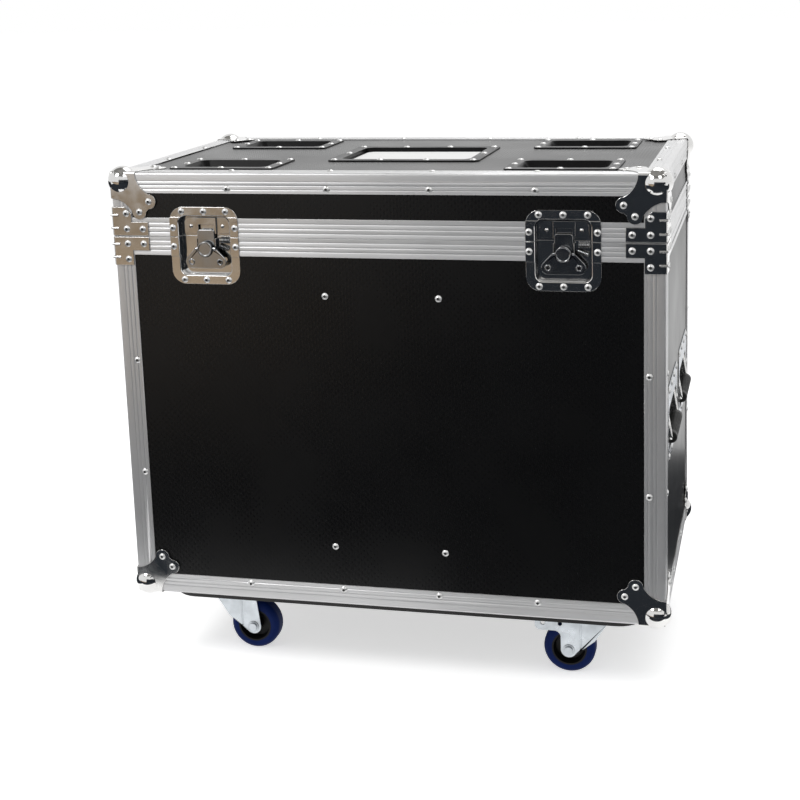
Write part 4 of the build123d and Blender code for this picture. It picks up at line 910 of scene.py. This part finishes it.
class CASE_OT_studio(bpy.types.Operator):
    """Set up the floor, lamps, room light and camera"""

    bl_idname = "case.studio"
    bl_label = "Studio"

    def execute(self, context):
        studio = context.scene.case_studio
        self.add_floor(studio)
        self.add_lamp("left_lamp", (-1.5, -1.9, 2.7), 1.0, studio.left_power)
        self.add_lamp("right_lamp", (1.3, -2.0, 2.8), 1.0, studio.right_power)
        self.add_lamp("back_lamp", (0.3, 1.2, 2.9), 1.6, studio.back_power)
        self.add_cards(studio)
        self.light_room(context, studio)
        self.place_camera(context, studio)
        context.scene.view_settings.view_transform = "Standard"
        return {"FINISHED"}

    def add_floor(self, studio):
        """A wide pale floor that keeps the shadow."""
        finish = Finish("floor_paint", (0.93, 0.93, 0.93), 0.0)
        finish.fixed("Roughness", 0.9).fixed("Specular IOR Level", 0.0)
        seen = self.seen_rays(finish.tree, 0.0)
        white = finish.tree.nodes.new("ShaderNodeMath")
        white.operation = "MULTIPLY"
        white.inputs[1].default_value = studio.floor_glow
        finish.tree.links.new(seen, white.inputs[0])
        finish.fixed("Emission Color", (1, 1, 1, 1))
        finish.tree.links.new(white.outputs["Value"], finish.shader.inputs["Emission Strength"])
        reach = 30
        self.add_sheet("studio_floor", (-reach, -reach, 0), (reach, reach, 0), finish.material)

    def seen_rays(self, tree, least):
        """1 for rays of the camera, reflections and glass, and least for all others."""
        path = tree.nodes.new("ShaderNodeLightPath")
        strength = None
        for ray in ("Is Camera Ray", "Is Glossy Ray", "Is Transmission Ray"):
            most = tree.nodes.new("ShaderNodeMath")
            most.operation = "MAXIMUM"
            most.inputs[0].default_value = least
            if strength is not None:
                tree.links.new(strength, most.inputs[0])
            tree.links.new(path.outputs[ray], most.inputs[1])
            strength = most.outputs["Value"]
        return strength

    def add_sheet(self, name, low, high, material):
        """A flat stage sheet between two corners, level or upright."""
        bm = bmesh.new()
        bmesh.ops.create_grid(bm, x_segments=1, y_segments=1, size=0.5)
        size = Vector(high) - Vector(low)
        if size.z:
            bmesh.ops.rotate(bm, matrix=Matrix.Rotation(math.radians(90), 3, "X"), verts=bm.verts[:])
        bmesh.ops.scale(bm, vec=[part or 1 for part in size], verts=bm.verts[:])
        bmesh.ops.translate(bm, vec=(Vector(low) + Vector(high)) / 2, verts=bm.verts[:])
        sheet = new_object(name, bm, material)
        return sheet

    def add_cards(self, studio):
        """Cards round the case that only mirror rays see, so that they paint reflections into the fittings
        and panels; each is given by its two corners and its colour.
        """
        dark = self.card_material("dark_reflection_card", studio.dark_reflection_card)
        warm = self.card_material("warm_reflection_card", studio.warm_reflection_card)
        grey = self.card_material("grey_reflection_card", studio.grey_reflection_card)
        low, high = (Vector(corner) for corner in cad_box)
        near, close, wide, far = 0.3, 0.18, 1.5, 6.0
        parting = -0.75
        wall = -3.0
        rise = 0.002
        height = 3.4
        # Each card paints the reflection of a floor, wall or ceiling that is seen nowhere else
        cards = {
            "front_left": ((-2.5, low.y - wide, rise), (0, low.y - near, rise), dark),
            "front_right": ((0, low.y - wide, rise), (3.0, low.y - close, rise), dark),
            "front_far": ((parting, -far, rise), (3.5, low.y - wide, rise), dark),
            "front_far_warm": ((-far, -far, rise), (parting, low.y - wide, rise), warm),
            "front_wall": ((parting, wall, 0), (far, wall, 1.2), dark),
            "front_wall_warm": ((-8.0, wall, 0), (parting, wall, 0.12), warm),
            "ceiling": ((-3.5, -4.0, height), (3.5, 1.5, height), grey),
            "left_floor": ((-far, low.y - near, rise), (low.x - near, 4.0, rise), dark),
            "right_floor": ((high.x + near, low.y - near, rise), (far, high.y, rise), dark),
            "back_near": ((high.x - 0.05, high.y + 0.02, rise), (1.2, high.y + 0.7, rise), dark),
            "back_floor": ((-2.0, high.y + near, rise), (high.x - 0.05, far, rise), dark),
        }
        for name, (start, stop, material) in cards.items():
            card = self.add_sheet(name, start, stop, material)
            card.visible_camera = False
            card.visible_diffuse = False
            card.visible_transmission = False
            card.visible_shadow = False

    def card_material(self, name, colour):
        """A matt card of one colour."""
        finish = Finish(name, colour, 0.0)
        return finish.fixed("Roughness", 1.0).fixed("Specular IOR Level", 0.0).material

    def add_lamp(self, name, place, size, power):
        """A square soft lamp aimed at the middle of the case."""
        lamp = bpy.data.lights.new(name, "AREA")
        lamp.shape = "SQUARE"
        lamp.size = size
        lamp.energy = power
        holder = bpy.data.objects.new(name, lamp)
        holder.location = place
        case_middle = Vector((0, 0, 0.4))
        aim = case_middle - Vector(place)
        holder.rotation_euler = aim.to_track_quat("-Z", "Y").to_euler()
        bpy.context.scene.collection.objects.link(holder)

    def light_room(self, context, studio):
        """A white room to the camera and to reflections, and a softer one to everything else."""
        world = bpy.data.worlds.new("pale_room")
        world.use_nodes = True
        context.scene.world = world
        tree = world.node_tree
        back = tree.nodes["Background"]
        back.inputs["Color"].default_value = (1, 1, 1, 1)
        tree.links.new(self.seen_rays(tree, studio.sky_strength), back.inputs["Strength"])

    def place_camera(self, context, studio):
        """The camera at the viewing angle of the photograph."""
        lens = bpy.data.cameras.new("studio_camera")
        lens.lens = studio.lens
        lens.sensor_width = 36
        lens.shift_x = studio.shift_across
        lens.shift_y = studio.shift_up
        camera = bpy.data.objects.new("studio_camera", lens)
        camera.location = studio.camera_place
        camera.rotation_euler = studio.camera_turn
        bpy.context.scene.collection.objects.link(camera)
        context.scene.camera = camera


class CASE_PT_sidebar(bpy.types.Panel):
    """Lists the pieces and settings of the flight case"""

    bl_label = "Flight Case"
    bl_idname = "CASE_PT_sidebar"
    bl_space_type = "VIEW_3D"
    bl_region_type = "UI"
    bl_category = "Flight Case"

    def draw(self, context):
        for operator in piece_operators:
            self.layout.operator(operator.bl_idname)
        for settings in (context.scene.case_finish, context.scene.case_trim, context.scene.case_studio):
            for name in settings.bl_rna.properties.keys():
                if name not in ("rna_type", "name"):
                    self.layout.prop(settings, name)


piece_operators = (CASE_OT_panels, CASE_OT_bars, CASE_OT_corners, CASE_OT_rivets, CASE_OT_latches,
                   CASE_OT_hinges, CASE_OT_handles, CASE_OT_castors, CASE_OT_lid_dishes, CASE_OT_foam,
                   CASE_OT_studio)
classes = (CaseFinish, CaseTrim, CaseStudio, *piece_operators, CASE_PT_sidebar)


def register():
    for item in classes:
        bpy.utils.register_class(item)
    bpy.types.Scene.case_finish = PointerProperty(type=CaseFinish)
    bpy.types.Scene.case_trim = PointerProperty(type=CaseTrim)
    bpy.types.Scene.case_studio = PointerProperty(type=CaseStudio)


def unregister():
    del bpy.types.Scene.case_finish
    del bpy.types.Scene.case_trim
    del bpy.types.Scene.case_studio
    for item in reversed(classes):
        bpy.utils.unregister_class(item)


def main():
    register()
    bpy.ops.case.panels()
    bpy.ops.case.bars()
    bpy.ops.case.corners()
    bpy.ops.case.rivets()
    bpy.ops.case.latches()
    bpy.ops.case.hinges()
    bpy.ops.case.handles()
    bpy.ops.case.castors()
    bpy.ops.case.lid_dishes()
    bpy.ops.case.foam()
    bpy.ops.case.studio()


if __name__ == "__main__":
    main()
